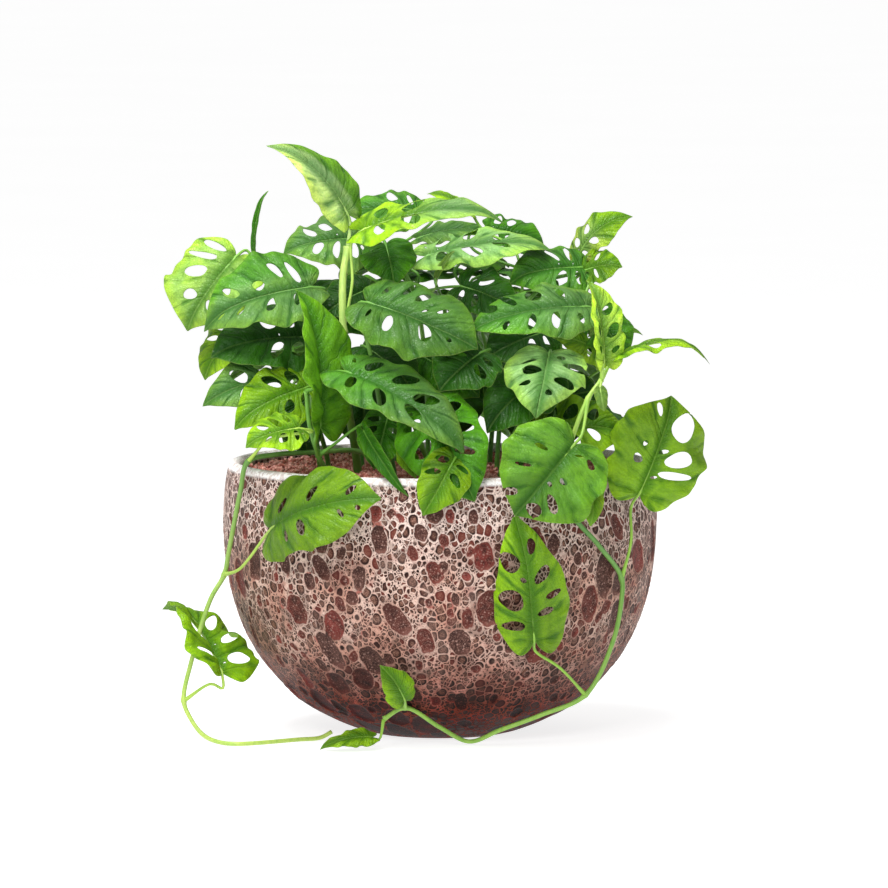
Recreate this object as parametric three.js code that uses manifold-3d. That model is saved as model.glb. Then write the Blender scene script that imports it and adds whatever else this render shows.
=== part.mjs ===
// A monstera adansonii in a round bowl: the bowl, its soil, a top layer of clay granules, and the leafy
// stems, each a solid of its own. Millimetres, +Z up, the origin at the centre of the bowl's foot.
// The plant looks towards -Y, with its two long vines trailing on that side.

import * as THREE from "three";
import { mergeVertices } from "three/addons/utils/BufferGeometryUtils.js";
import Module from "manifold-3d";

const wasm = await Module();
wasm.setup();

// ---------------------------------------------------------------- driving dimensions

const BOWL_RADIUS = 145; // at its widest
const BOWL_HEIGHT = 182;
const FOOT_RADIUS = 45;
const WALL = 9;
const LIP_RADIUS = 142; // outside of the rim
const RIM_LEVEL = 177; // where the rim begins to round over
const BOWL_SIDES = 36;

const FIT_GAP = 0.3; // between pieces that touch
const SOIL_TOP = 158;
const GRANULE_TOP = 174;
const GRANULE_RELIEF = 1.6; // how far the bumps of the granules rise and fall
const GRANULE_PITCH = 42; // from one bump to the next
const GRANULE_RINGS = [0.85, 0.62, 0.36]; // shares of the layer's radius where its top is raised

const STEM_RADIUS = 1.9;
const PETIOLE_RADIUS = 1.2;
const STEM_SIDES = 4;
const STEM_FOOT = 148; // height of the cut end of a stem, down in the soil
const HOLE_MARGIN = 2; // how much wider than its stem a planting hole is
const HOLE_SIDES = 4;
const STEM_STRAIGHT = 166; // height up to which a stem stands upright in its hole
const HOLE_RISE = 4; // how far the cutter of a hole stands above the bowl
const NOTCH_MARGIN = 0.8; // how far its petiole keeps behind the notch between a blade's lobes
const LEAST_SETBACK = 0.5; // share of that margin that counts when a petiole leaves square to its blade
const SHORT_PETIOLE = 12;
const LONGEST_LEAD = 12; // how far behind its blade a petiole starts to turn under it
const LEAD_SHARE = 0.4; // of the way to the stem, that a shorter lead takes
const LEAD_BACK = 0.8; // shares of the lead that go backwards and down
const LEAD_DOWN = 0.6;
const PETIOLE_SIDES = 4; // as many as there are corners round a blade's notch

const BLADE_THICKNESS = 1.0;
const SMALLEST_PART = 5; // cubic millimetres

// ---------------------------------------------------------------- the blade of a leaf

// Each side vein runs from the midrib out to the margin. Its foot and its end are given along the leaf, as a
// share of the leaf's length from the petiole, and across it, as a share of half the leaf's width.
const SIDE_VEINS = [
  { foot: 0.0, end: [-0.13, 0.4] },
  { foot: 0.0, end: [0.03, 0.84] },
  { foot: 0.15, end: [0.32, 1.0] },
  { foot: 0.37, end: [0.61, 0.85] },
  { foot: 0.6, end: [0.85, 0.45] },
];
// A hole between two side veins: how far out it starts and ends, and how much of the gap it leaves each side.
const HOLE = { inner: 0.17, outer: 0.8, innerMargin: 0.3, outerMargin: 0.23 };

// Where a leaf differs from this, its entry says so.
const PLAIN_LEAF = {
  width: 52,
  fold: 10, // how far each half is raised from flat, in degrees
  cup: 0.22, // how far the margin turns down again, as a share of half the width
  arch: 0.07, // how far the midrib is bowed up, as a share of the length
  twist: 0, // from petiole to tip, in degrees
  holes: 3, // on each side
  petiole: PETIOLE_RADIUS,
  via: [],
};

// ---------------------------------------------------------------- the leafy stems

// A stem's path starts above its hole in the soil. Each leaf hangs from a point of the path, the first being
// 1, by a petiole that may pass a few points of its own. face is the way its upper side looks.
const STEMS = {
  vine_left: {
    path: [
      [-38, -38, 178],
      [-52, -44, 191],
      [-84, -56, 192],
      [-110, -63, 191],
      [-127, -68, 187],
      [-132, -70, 167],
      [-140, -62, 126],
      [-143, -60, 111],
      [-152, -62, 95],
      [-165, -62, 53],
      [-170, -62, 27],
      [-165, -66, 15],
      [-157, -75, 6],
      [-146, -88, 2.6],
      [-134, -96, 2.4],
      [-94, -72, 2.4],
      [-79, -62, 2.6],
      [-72, -59, 6],
    ],
    leaves: [
      { on: 5, via: [[-112, -84, 203]], base: [-93, -108, 213], tip: [-128, -118, 203],
        face: [-1, -7, 8], width: 38 },
      { on: 8, via: [[-132, -78, 117]], base: [-111, -108, 147], tip: [-40, -157, 171],
        face: [-2, -9, 5], width: 58, arch: 0.13 },
      { on: 11, via: [[-152, -68, 39]], base: [-144, -70, 48], tip: [-179, -23, 90],
        face: [6, -2, 8], width: 72, fold: 27 },
    ],
  },
  vine_right: {
    path: [
      [62, -84, 178],
      [66, -94, 190],
      [77, -117, 188],
      [84, -126, 176],
      [86, -126, 159],
      [104, -111, 136],
      [120, -86, 111],
      [120, -88, 98],
      [114, -90, 69],
      [96, -96, 35],
      [67, -98, 22],
      [40, -98, 12],
      [19, -86, 2.8],
      [0, -92, 13],
      [-23, -101, 27],
      [-37, -105, 20],
    ],
    leaves: [
      { on: 7, via: [[126, -91, 136]], base: [132, -92, 168], tip: [154, -88, 232],
        face: [4, -9, 1], width: 66, fold: 20 },
      { on: 10, via: [[78, -117, 56]], base: [62, -129, 75], tip: [55, -144, 158],
        face: [0, -10, 1], width: 49 },
      { on: 15, base: [-23, -118, 34], tip: [-36, -137, 59], face: [0, -10, 4], width: 22, holes: 0 },
      { on: 16, base: [-45, -110, 9], tip: [-79, -118, 2],
        face: [0, -3, 9], width: 20, petiole: 0.8, holes: 0 },
    ],
  },
  stem_front_right: {
    path: [
      [82, -88, 178],
      [83, -112, 191],
      [87, -121, 208],
      [97, -120, 233],
      [106, -114, 245],
    ],
    leaves: [
      { on: 4, base: [88, -141, 205], tip: [50, -160, 160],
        face: [1, -10, 2], width: 70, arch: 0.02, cup: 0.2 },
      { on: 5, base: [108, -119, 258], tip: [98, -112, 311], face: [7, -7, 0], width: 38, fold: 40 },
      { on: 5, base: [119, -110, 261], tip: [177, -104, 262],
        face: [0, -1, 9], width: 34, arch: 0.15, holes: 2 },
      { on: 5, base: [105, -122, 240], tip: [107, -125, 225],
        face: [0, -9, 1], width: 9, petiole: 0.7, holes: 0 },
      { on: 2, via: [[95, -131, 194]], base: [98, -139, 184], tip: [100, -150, 152],
        face: [4, -9, 2], width: 18, holes: 0 },
    ],
  },
  stem_tall: {
    path: [
      [-55, -20, 178],
      [-62, -46, 230],
      [-64, -62, 273],
      [-64, -58, 310],
      [-61, -52, 328],
    ],
    leaves: [
      { on: 5, base: [-61, -52, 351], tip: [-110, -70, 401],
        face: [5, -7, 4], width: 36, fold: 20, twist: 50, arch: 0.11, holes: 0 },
      { on: 3, via: [[-58, -61, 305]], base: [-50, -58, 341], tip: [43, -75, 354],
        face: [0, -3, 9], width: 44, twist: -34, holes: 2 },
    ],
  },
  stem_top_left: {
    path: [
      [-20, -22, 178],
      [-22, -22, 240],
      [-30, -24, 290],
      [-44, -8, 316],
    ],
    leaves: [
      { on: 4, base: [-56, 13, 330], tip: [-104, -2, 322], face: [-1, -5, 8], width: 58 },
      { on: 4, base: [-15, 42, 347], tip: [-64, 44, 345], face: [0, -5, 8], width: 40, holes: 2 },
      { on: 3, base: [-47, -28, 299], tip: [-79, -42, 282], face: [0, -7, 7], width: 36, holes: 0 },
      { on: 3, base: [-52, 4, 246], tip: [-50, -2, 190], face: [0, -9, 2], width: 54, holes: 0 },
    ],
  },
  stem_left_high: {
    path: [
      [-75, 15, 178],
      [-90, 0, 230],
      [-103, 3, 270],
      [-111, 11, 293],
    ],
    leaves: [
      { on: 4, via: [[-120, 28, 303]], base: [-137, 26, 317], tip: [-171, 4, 270],
        face: [-4, -8, 3], width: 64 },
      { on: 2, via: [[-112, -3, 250]], base: [-137, 14, 271], tip: [-158, 4, 236],
        face: [-5, -7, 3], width: 38, holes: 2 },
      { on: 3, base: [-86, -50, 302], tip: [-158, -62, 281],
        face: [-1, -7, 7], width: 66, fold: 20 },
      { on: 3, base: [-84, -8, 297], tip: [-44, -34, 270], face: [0, -6, 7], width: 44, holes: 0 },
      { on: 4, base: [-124, 2, 322], tip: [-116, 8, 364],
        face: [-7, -7, 0], width: 7, fold: 40, petiole: 0.6, holes: 0 },
    ],
  },
  stem_left_low: {
    path: [
      [-80, -25, 178],
      [-84, -32, 215],
      [-86, -36, 245],
      [-85, -36, 260],
    ],
    leaves: [
      { on: 4, base: [-90, -42, 268], tip: [-152, -62, 259], face: [-1, -7, 7], width: 56, holes: 2 },
      { on: 3, base: [-92, -50, 244], tip: [-158, -72, 229], face: [-1, -8, 6], width: 44 },
      { on: 2, base: [-87, -68, 237], tip: [-137, -90, 215], face: [-1, -8, 6], width: 46, holes: 2 },
      { on: 2, via: [[-92, -14, 238]], base: [-97, -8, 224], tip: [-88, -20, 186], face: [0, -9, 2], width: 34, holes: 0 },
    ],
  },
  stem_front_left: {
    path: [
      [-74, -72, 178],
      [-80, -84, 192],
      [-86, -92, 214],
      [-88, -95, 236],
    ],
    leaves: [
      { on: 2, base: [-78, -101, 214], tip: [-91, -92, 304], face: [9, -6, 1], width: 62, fold: 30, holes: 0 },
      { on: 4, via: [[-80, -108, 240]], base: [-61, -104, 250], tip: [18, -146, 204],
        face: [2, -6, 7], width: 54 },
      { on: 2, base: [-50, -112, 211], tip: [-22, -148, 174],
        face: [-5, -7, 3], width: 14, fold: 30, petiole: 1, holes: 0 },
    ],
  },
  stem_middle: {
    path: [
      [-30, -70, 178],
      [-38, -72, 215],
      [-44, -70, 250],
      [-50, -72, 275],
    ],
    leaves: [
      { on: 4, base: [-47, -84, 294], tip: [23, -113, 264], face: [0, -7, 7], width: 60 },
      { on: 3, base: [-49, -62, 263], tip: [-16, -90, 237], face: [0, -7, 6], width: 44, holes: 0 },
      { on: 2, base: [-34, -90, 220], tip: [-42, -109, 186], face: [-1, -9, 3], width: 36, holes: 2 },
      { on: 2, base: [27, -97, 262], tip: [0, -117, 239], face: [1, -7, 7], width: 48, holes: 2 },
      { on: 3, base: [-14, -62, 258], tip: [26, -76, 232], face: [0, -8, 5], width: 46, holes: 0 },
    ],
  },
  stem_middle_low: {
    path: [
      [-5, -88, 178],
      [-12, -98, 200],
      [-20, -106, 222],
    ],
    leaves: [
      { on: 3, base: [-10, -118, 226], tip: [24, -149, 171], face: [-1, -9, 3], width: 58 },
      { on: 1, base: [10, -141, 196], tip: [-10, -157, 160], face: [0, -9, 2], width: 34, holes: 2 },
      { on: 2, base: [-24, -118, 199], tip: [-15, -132, 183], face: [0, -9, 3], width: 14, holes: 0 },
    ],
  },
  stem_top: {
    path: [
      [-8, 10, 178],
      [-10, 8, 250],
      [-17, -2, 294],
      [-24, -10, 309],
    ],
    leaves: [
      { on: 3, base: [-36, -32, 329], tip: [-30, -56, 304], face: [0, -7, 6], width: 38, holes: 0 },
      { on: 4, base: [-14, 6, 331], tip: [32, 2, 336], face: [0, -4, 9], width: 30, holes: 0 },
      { on: 4, base: [-8, -20, 321], tip: [75, -22, 327], face: [0, -3, 9], width: 48 },
      { on: 3, base: [14, -44, 302], tip: [52, -58, 286], face: [0, -7, 7], width: 42, holes: 2 },
      { on: 3, base: [6, 26, 252], tip: [10, 22, 194], face: [0, -9, 2], width: 56, holes: 0 },
      { on: 3, base: [-2, -36, 308], tip: [10, -38, 325],
        face: [-7, -7, 0], width: 7, fold: 40, petiole: 0.6, holes: 0 },
    ],
  },
  stem_top_right: {
    path: [
      [38, -5, 178],
      [44, -8, 240],
      [56, -20, 286],
      [74, -16, 305],
    ],
    leaves: [
      { on: 3, via: [[50, 6, 322]], base: [22, 27, 346], tip: [-8, 32, 360],
        face: [0, -1, 9], width: 26, holes: 0 },
      { on: 4, via: [[23, 24, 321]], base: [33, 52, 334], tip: [72, 54, 322],
        face: [0, -6, 8], width: 42, holes: 2 },
      { on: 4, base: [94, -20, 313], tip: [46, -32, 306], face: [0, -7, 7], width: 50, holes: 2 },
      { on: 3, base: [56, 14, 250], tip: [58, 6, 192], face: [0, -9, 2], width: 56, holes: 0 },
      { on: 4, base: [92, 2, 318], tip: [128, 0, 346],
        face: [-6, -6, 6], width: 32, arch: 0.18, holes: 2 },
      { on: 3, base: [96, -22, 311], tip: [121, -28, 315], face: [0, -6, 8], width: 34, holes: 2 },
    ],
  },
  stem_right_mid: {
    path: [
      [70, -35, 178],
      [80, -45, 230],
      [88, -52, 268],
      [92, -58, 284],
    ],
    leaves: [
      { on: 4, base: [97, -77, 291], tip: [19, -94, 277], face: [0, -5, 8], width: 50 },
      { on: 4, base: [104, -51, 298], tip: [101, -58, 268], face: [8, -3, 2], width: 20, holes: 0 },
      { on: 3, base: [86, -18, 238], tip: [82, -32, 194], face: [1, -9, 3], width: 42, holes: 0 },
      { on: 2, base: [70, -48, 272], tip: [30, -64, 255], face: [0, -7, 7], width: 46, holes: 2 },
      { on: 2, via: [[106, -44, 246]], base: [107, -50, 259], tip: [76, -66, 270],
        face: [0, -7, 7], width: 36, holes: 2 },
      { on: 3, base: [98, -40, 284], tip: [124, -52, 256], face: [2, -8, 5], width: 42, holes: 2 },
      { on: 3, base: [113, -22, 262], tip: [135, -23, 268],
        face: [0, -3, 9], width: 20, arch: 0.3, holes: 0 },
    ],
  },
  stem_right_low: {
    path: [
      [40, -60, 178],
      [52, -70, 212],
      [66, -76, 239],
    ],
    leaves: [
      { on: 3, base: [72, -88, 261], tip: [65, -134, 225], face: [0, -6, 8], width: 56 },
      { on: 3, base: [71, -86, 247], tip: [28, -113, 214], face: [0, -8, 6], width: 48, holes: 2 },
      { on: 2, base: [68, -94, 211], tip: [124, -92, 211], face: [0, -8, 6], width: 48 },
      { on: 2, base: [70, -60, 226], tip: [106, -64, 234], face: [0, -8, 5], width: 42, holes: 2 },
    ],
  },
};

// The far side of the plant: sprays round the soil, each with leaves that spread out and down from its stem.
const SPRAYS = {
  spray_right: 28,
  spray_right_back: 57,
  spray_back: 86,
  spray_left_back: 118,
  spray_left: 148,
}; // the way each spray leans, in degrees from +X
const SPRAY_PATH = [
  // from the middle of the bowl, and height
  [62, 178],
  [66, 214],
  [58, 250],
  [44, 284],
];
const SPRAY_WIDTH = 50;
const SPRAY_FACE = [5, 9]; // outwards and up
const SPRAY_LEAVES = [
  // turn from the spray's own direction, height and reach of the petiole's end, length, fall of the tip
  { on: 2, turn: -16, height: 222, reach: 98, length: 74, fall: 40 },
  { on: 3, turn: 15, height: 258, reach: 86, length: 76, fall: 30 },
  { on: 4, turn: -8, height: 286, reach: 66, length: 76, fall: 20 },
  { on: 4, turn: 10, height: 302, reach: 34, length: 72, fall: 8 },
];
const SPRAY_STEP = 9; // every other spray is this much higher
const SPRAY_JITTER = 4; // the most that a seeded draw moves a spray's leaf, in millimetres
const SPRAY_SEED = 7919;
const DRAW_FACTOR = 16807;
const DRAW_PRIME = 2147483647;

// ---------------------------------------------------------------- solids

function solidOf(geometry) {
  const bare = geometry.clone();
  bare.deleteAttribute("normal");
  bare.deleteAttribute("uv");
  const merged = mergeVertices(bare, 1e-4);
  return new wasm.Manifold(
    new wasm.Mesh({
      numProp: 3,
      vertProperties: new Float32Array(merged.attributes.position.array),
      triVerts: new Uint32Array(merged.index.array),
    }),
  );
}

// A joined solid without the sealed hollows and loose scraps that the joins leave.
function filled(solid) {
  return wasm.Manifold.union(solid.decompose().filter((part) => part.volume() > SMALLEST_PART));
}

function geometryOf(solid) {
  const mesh = solid.getMesh();
  const geometry = new THREE.BufferGeometry();
  geometry.setAttribute("position", new THREE.BufferAttribute(new Float32Array(mesh.vertProperties), 3));
  geometry.setIndex(new THREE.BufferAttribute(new Uint32Array(mesh.triVerts), 1));
  geometry.computeVertexNormals();
  return geometry;
}

function vector(point) {
  return new THREE.Vector3(...point);
}

// Rings of corners square to a smooth curve through the points, one at each point. across is the way that
// their first corner looks at the start.
function ringsAlong(points, radius, sides, across) {
  const curve = new THREE.CatmullRomCurve3(points, false, "centripetal");
  const first = across.clone();
  return points.map((centre, i) => {
    const tangent = curve.getTangent(i / (points.length - 1));
    first.addScaledVector(tangent, -first.dot(tangent)).normalize();
    const second = tangent.clone().cross(first);
    return Array.from({ length: sides }, (unused, k) => {
      const angle = (k / sides) * 2 * Math.PI;
      return centre
        .clone()
        .addScaledVector(first, radius * Math.cos(angle))
        .addScaledVector(second, radius * Math.sin(angle));
    });
  });
}

// Skins a row of rings onto the ring that is already in corners, and closes the last one.
function skinRings(rings, start, corners, faces) {
  let ring = start;
  for (const next of rings) {
    const following = next.map((corner) => corners.push(corner) - 1);
    ring.forEach((corner, k) => {
      const l = (k + 1) % ring.length;
      faces.push(corner, ring[l], following[l], corner, following[l], following[k]);
    });
    ring = following;
  }
  for (let k = 1; k < ring.length - 1; k++) faces.push(ring[0], ring[k], ring[k + 1]);
}

function meshOf(corners, faces) {
  const geometry = new THREE.BufferGeometry();
  geometry.setAttribute("position", new THREE.Float32BufferAttribute(corners.flatMap((c) => c.toArray()), 3));
  geometry.setIndex(faces);
  return geometry;
}

function tube(points, radius, sides) {
  const [start, ...rest] = ringsAlong(points, radius, sides, new THREE.Vector3(1, 0, 0));
  const ring = start.map((corner, k) => k);
  const corners = [...start];
  const faces = [];
  for (let k = 1; k < sides - 1; k++) faces.push(ring[0], ring[k + 1], ring[k]);
  skinRings(rest, ring, corners, faces);
  return meshOf(corners, faces);
}

// ---------------------------------------------------------------- leaves

// The place of a point of the blade: along it (0 at the petiole, 1 at the tip) and across it (-1 to 1).
function bladeSurface(leaf) {
  const base = vector(leaf.base);
  const along = vector(leaf.tip).sub(base);
  const length = along.length();
  along.normalize();
  const up = vector(leaf.face);
  up.addScaledVector(along, -up.dot(along)).normalize();
  const side = up.clone().cross(along);
  const fold = THREE.MathUtils.degToRad(leaf.fold);
  const half = leaf.width / 2;
  const point = (u, v) => {
    const turn = THREE.MathUtils.degToRad(leaf.twist) * (u - 0.5);
    const out = v * half * Math.cos(fold);
    const raised = Math.abs(v) * half * Math.sin(fold) - leaf.cup * half * v * v;
    const bow = leaf.arch * length * 4 * u * (1 - u);
    return base
      .clone()
      .addScaledVector(along, u * length)
      .addScaledVector(side, out * Math.cos(turn) - raised * Math.sin(turn))
      .addScaledVector(up, out * Math.sin(turn) + raised * Math.cos(turn) + bow);
  };
  return { point, up, along, side };
}

// A flat pattern of the blade, as points along and across it and as triangles that face up.
function bladePattern(holes) {
  const points = [];
  const index = new Map();
  const triangles = [];
  const place = (u, v) => {
    const key = `${u.toFixed(5)} ${v.toFixed(5)}`;
    if (!index.has(key)) {
      index.set(key, points.length);
      points.push([u, v]);
    }
    return index.get(key);
  };
  for (const side of [1, -1]) {
    const quad = (corners) => {
      const [a, b, c, d] = corners;
      triangles.push(side > 0 ? [a, b, c] : [a, c, b]);
      if (d !== undefined && d !== a) triangles.push(side > 0 ? [a, c, d] : [a, d, c]);
    };
    const drawn = SIDE_VEINS.filter((vein, i) => holes > 0 ? i < holes + 2 : i % 2 === 0);
    const veins = drawn.map(({ foot, end }) => (t) => [foot + (end[0] - foot) * t, side * end[1] * t]);
    const panels = veins.length - 1;
    for (let k = 0; k < panels; k++) {
      const at = (t, s) => {
        const [u0, v0] = veins[k](t);
        const [u1, v1] = veins[k + 1](t);
        return place(u0 + (u1 - u0) * s, v0 + (v1 - v0) * s);
      };
      const outer = [at(0, 0), at(0, 1), at(1, 1), at(1, 0)];
      if (k === 0 || k > holes) {
        quad(outer);
        continue;
      }
      const { inner, outer: far, innerMargin: a, outerMargin: b } = HOLE;
      const hole = [at(inner, a), at(inner, 1 - a), at(far, 1 - b), at(far, b)];
      for (let i = 0; i < 4; i++) {
        const next = (i + 1) % 4;
        quad([outer[i], outer[next], hole[next], hole[i]]);
      }
    }
    const [lastFoot, lastEnd] = [veins[panels](0), veins[panels](1)];
    quad([place(...lastFoot), place(1, 0), place(...lastEnd)]);
  }
  return { points, triangles: triangles.filter(([a, b, c]) => a !== b && b !== c && a !== c) };
}

// The points of a petiole after the blade's own base: it leaves the blade backwards and down, unless it is
// short.
function petioleRoute(leaf, start, { along, up }) {
  const base = vector(leaf.base);
  const distance = base.distanceTo(start);
  const route = [...leaf.via.map(vector).reverse(), start];
  if (distance < SHORT_PETIOLE) return route;
  const lead = Math.min(LONGEST_LEAD, distance * LEAD_SHARE);
  return [base.addScaledVector(along, -lead * LEAD_BACK).addScaledVector(up, -lead * LEAD_DOWN), ...route];
}

// One closed surface: the blade's two faces, the walls of its margin and holes, and the petiole, which opens
// out of the notch between the blade's basal lobes.
function leafGeometry(leaf, start) {
  const { points, triangles } = bladePattern(leaf.holes);
  const surface = bladeSurface(leaf);
  const { point, up, along, side } = surface;
  const rise = BLADE_THICKNESS / 2 / Math.cos(THREE.MathUtils.degToRad(leaf.fold));
  const corners = [];
  for (const lift of [rise, -rise])
    for (const [u, v] of points) corners.push(point(u, v).addScaledVector(up, lift));
  const under = points.length;
  const notch = points.findIndex(([u, v]) => u === 0 && v === 0);
  const base = vector(leaf.base);
  const route = petioleRoute(leaf, start, surface);
  const away = route[0].clone().sub(base).normalize();
  const [lobeBack, lobeOut] = SIDE_VEINS[0].end;
  const slope = (-lobeBack * base.distanceTo(vector(leaf.tip))) / (lobeOut * leaf.width * 0.5);
  const depth = NOTCH_MARGIN + leaf.petiole * slope;
  const notchBack = base.clone().addScaledVector(away, depth / Math.max(LEAST_SETBACK, -away.dot(along)));
  const left = corners.push(notchBack.clone().addScaledVector(side, leaf.petiole)) - 1;
  const right = corners.push(notchBack.clone().addScaledVector(side, -leaf.petiole)) - 1;

  const faces = [];
  const edges = new Set();
  for (const [a, b, c] of triangles) {
    faces.push(a, b, c, a + under, c + under, b + under);
    for (const [from, to] of [[a, b], [b, c], [c, a]]) edges.add(`${from} ${to}`);
  }
  for (const edge of edges) {
    const [from, to] = edge.split(" ").map(Number);
    if (edges.has(`${to} ${from}`)) continue;
    const [fromUnder, toUnder] = [from + under, to + under];
    if (to === notch) faces.push(fromUnder, toUnder, left, fromUnder, left, to, fromUnder, to, from);
    else if (from === notch) faces.push(to, from, right, to, right, fromUnder, to, fromUnder, toUnder);
    else faces.push(to, from, fromUnder, to, fromUnder, toUnder);
  }

  const rings = ringsAlong([base, ...route], leaf.petiole, PETIOLE_SIDES, up).slice(1);
  skinRings(rings, [notch, left, notch + under, right], corners, faces);
  return meshOf(corners, faces);
}

function stemSolid({ path, leaves }) {
  const upright = [STEM_FOOT, STEM_STRAIGHT].map((z) => vector(path[0]).setZ(z));
  const route = [...upright, ...path.map(vector)];
  const solids = [solidOf(tube(route, STEM_RADIUS, STEM_SIDES))];
  for (const entry of leaves) {
    const leaf = { ...PLAIN_LEAF, ...entry };
    solids.push(solidOf(leafGeometry(leaf, vector(path[leaf.on - 1]))));
  }
  return filled(wasm.Manifold.union(solids));
}

// ---------------------------------------------------------------- the sprays of the far side

// A small seeded generator of numbers from 0 to 1.
function draws(seed) {
  let state = seed;
  return () => {
    state = (state * DRAW_FACTOR) % DRAW_PRIME;
    return state / DRAW_PRIME;
  };
}

function polar(degrees, radius, height) {
  const angle = THREE.MathUtils.degToRad(degrees);
  return [radius * Math.cos(angle), radius * Math.sin(angle), height];
}

function spray(lean, order) {
  const draw = draws(SPRAY_SEED * (order + 1));
  const step = (order % 2) * SPRAY_STEP;
  const jitter = () => (draw() * 2 - 1) * SPRAY_JITTER;
  const path = SPRAY_PATH.map(([reach, height]) => polar(lean, reach, height));
  const leaves = SPRAY_LEAVES.map(({ on, turn, height, reach, length, fall }) => {
    const heading = lean + turn;
    const out = Math.sqrt(length * length - fall * fall);
    const z = height + step + jitter();
    const tipTurn = heading + jitter();
    return {
      on,
      base: polar(heading, reach, z),
      tip: polar(tipTurn, reach + out, z - fall + jitter()),
      face: polar(heading, ...SPRAY_FACE),
      width: SPRAY_WIDTH,
      holes: 2,
    };
  });
  return { path, leaves };
}

function allStems() {
  const stems = { ...STEMS };
  Object.entries(SPRAYS).forEach(([name, lean], i) => {
    stems[name] = spray(lean, i);
  });
  return stems;
}

// ---------------------------------------------------------------- bowl, soil and granules

// The outside of the bowl, from its foot to its widest and in to its rim, as radius and height.
const BOWL_OUTSIDE = [
  [FOOT_RADIUS, 0],
  [56, 3],
  [73, 10],
  [94, 22],
  [110, 38],
  [124, 56],
  [134, 77],
  [141, 101],
  [144, 122],
  [BOWL_RADIUS, 144],
  [144, 164],
  [LIP_RADIUS, RIM_LEVEL],
];

// The bowl's outside, moved in square to itself at every other point, up to a height.
function insideProfile(distance, top) {
  const outside = BOWL_OUTSIDE.slice(1);
  const points = [];
  for (let i = 1; i < outside.length - 1; i += 2) {
    const [[r0, z0], [r, z], [r1, z1]] = outside.slice(i - 1, i + 2);
    const run = Math.hypot(r1 - r0, z1 - z0);
    points.push([r - (distance * (z1 - z0)) / run, z + (distance * (r1 - r0)) / run]);
  }
  points.push([LIP_RADIUS - distance, RIM_LEVEL]);
  const kept = points.filter(([, z]) => z < top);
  if (kept.length === points.length) return kept;
  const [r0, z0] = kept.at(-1);
  const [r1, z1] = points[kept.length];
  return [...kept, [r0 + ((r1 - r0) * (top - z0)) / (z1 - z0), top]];
}

function bowlProfile() {
  const lip = WALL / 2;
  const points = [[0, 0], ...BOWL_OUTSIDE];
  for (const angle of [45, 90, 135]) {
    const a = THREE.MathUtils.degToRad(angle);
    points.push([LIP_RADIUS - lip + lip * Math.cos(a), RIM_LEVEL + (BOWL_HEIGHT - RIM_LEVEL) * Math.sin(a)]);
  }
  const inside = insideProfile(WALL, BOWL_HEIGHT).reverse();
  return [...points, ...inside, [0, inside.at(-1)[1]]];
}

function lathe(points) {
  const outline = points.map(([r, z]) => new THREE.Vector2(r, z));
  const geometry = new THREE.LatheGeometry(outline, BOWL_SIDES);
  geometry.rotateX(Math.PI / 2);
  return geometry;
}

// The planting holes: one round each stem's foot, open upwards.
function plantingHoles(stems) {
  const radius = STEM_RADIUS + HOLE_MARGIN;
  const holes = Object.values(stems).map(({ path }) => {
    const bottom = STEM_FOOT - FIT_GAP;
    const height = BOWL_HEIGHT - bottom + HOLE_RISE;
    const hole = new THREE.CylinderGeometry(radius, radius, height, HOLE_SIDES);
    hole.rotateX(Math.PI / 2);
    hole.translate(path[0][0], path[0][1], bottom + height / 2);
    return solidOf(hole);
  });
  return wasm.Manifold.union(holes);
}

function soilSolid(holes) {
  const wall = insideProfile(WALL + FIT_GAP, SOIL_TOP);
  const [, floor] = wall[0];
  return solidOf(lathe([[0, floor], ...wall, [0, SOIL_TOP]])).subtract(holes);
}

// The granules' layer: a disc whose top is raised into low bumps by a formula.
function granuleSolid(holes) {
  const bottom = SOIL_TOP + FIT_GAP;
  const [low] = insideProfile(WALL + FIT_GAP, bottom).at(-1);
  const [high] = insideProfile(WALL + FIT_GAP, GRANULE_TOP).at(-1);
  const rings = GRANULE_RINGS.map((share) => [high * share, GRANULE_TOP]);
  const geometry = lathe([[0, bottom], [low, bottom], [high, GRANULE_TOP], ...rings, [0, GRANULE_TOP]]);
  const position = geometry.attributes.position;
  for (let i = 0; i < position.count; i++) {
    const [x, y, z] = [position.getX(i), position.getY(i), position.getZ(i)];
    if (z < GRANULE_TOP - 1 || Math.hypot(x, y) > high - 1) continue;
    const wave = Math.sin((x / GRANULE_PITCH) * 2 * Math.PI) * Math.cos((y / GRANULE_PITCH) * 2 * Math.PI);
    position.setZ(i, z + GRANULE_RELIEF * wave);
  }
  return solidOf(geometry).subtract(holes);
}

// ---------------------------------------------------------------- materials and assembly

function finish(color, roughness) {
  return new THREE.MeshStandardMaterial({ color, roughness, metalness: 0 });
}

const GLAZE = finish(0x8a5a55, 0.45);
const SOIL = finish(0x3b2a20, 0.95);
const GRANULES = finish(0xc06a55, 0.9);
const VINE_GREEN = finish(0x5f9a1c, 0.4);
const TOP_GREEN = finish(0x6fa35e, 0.42);
const DEEP_GREEN = finish(0x2f6a1e, 0.42);
const FOLIAGE = {
  vine_left: VINE_GREEN,
  vine_right: VINE_GREEN,
  stem_front_right: VINE_GREEN,
  stem_tall: VINE_GREEN,
  stem_right_low: DEEP_GREEN,
  stem_left_low: DEEP_GREEN,
};

const plant = new THREE.Group();

function add(name, solid, material) {
  const mesh = new THREE.Mesh(geometryOf(solid), material.clone());
  mesh.name = name;
  plant.add(mesh);
}

const stems = allStems();
const holes = plantingHoles(stems);
add("bowl", solidOf(lathe(bowlProfile())), GLAZE);
add("soil", soilSolid(holes), SOIL);
add("clay_granules", granuleSolid(holes), GRANULES);
for (const [name, stem] of Object.entries(stems)) add(name, stemSolid(stem), FOLIAGE[name] ?? TOP_GREEN);

export default plant;
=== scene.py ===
"""The looks of a monstera adansonii in a round bowl with a cratered glaze."""

import math
from functools import partialmethod
from itertools import combinations, product

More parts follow.
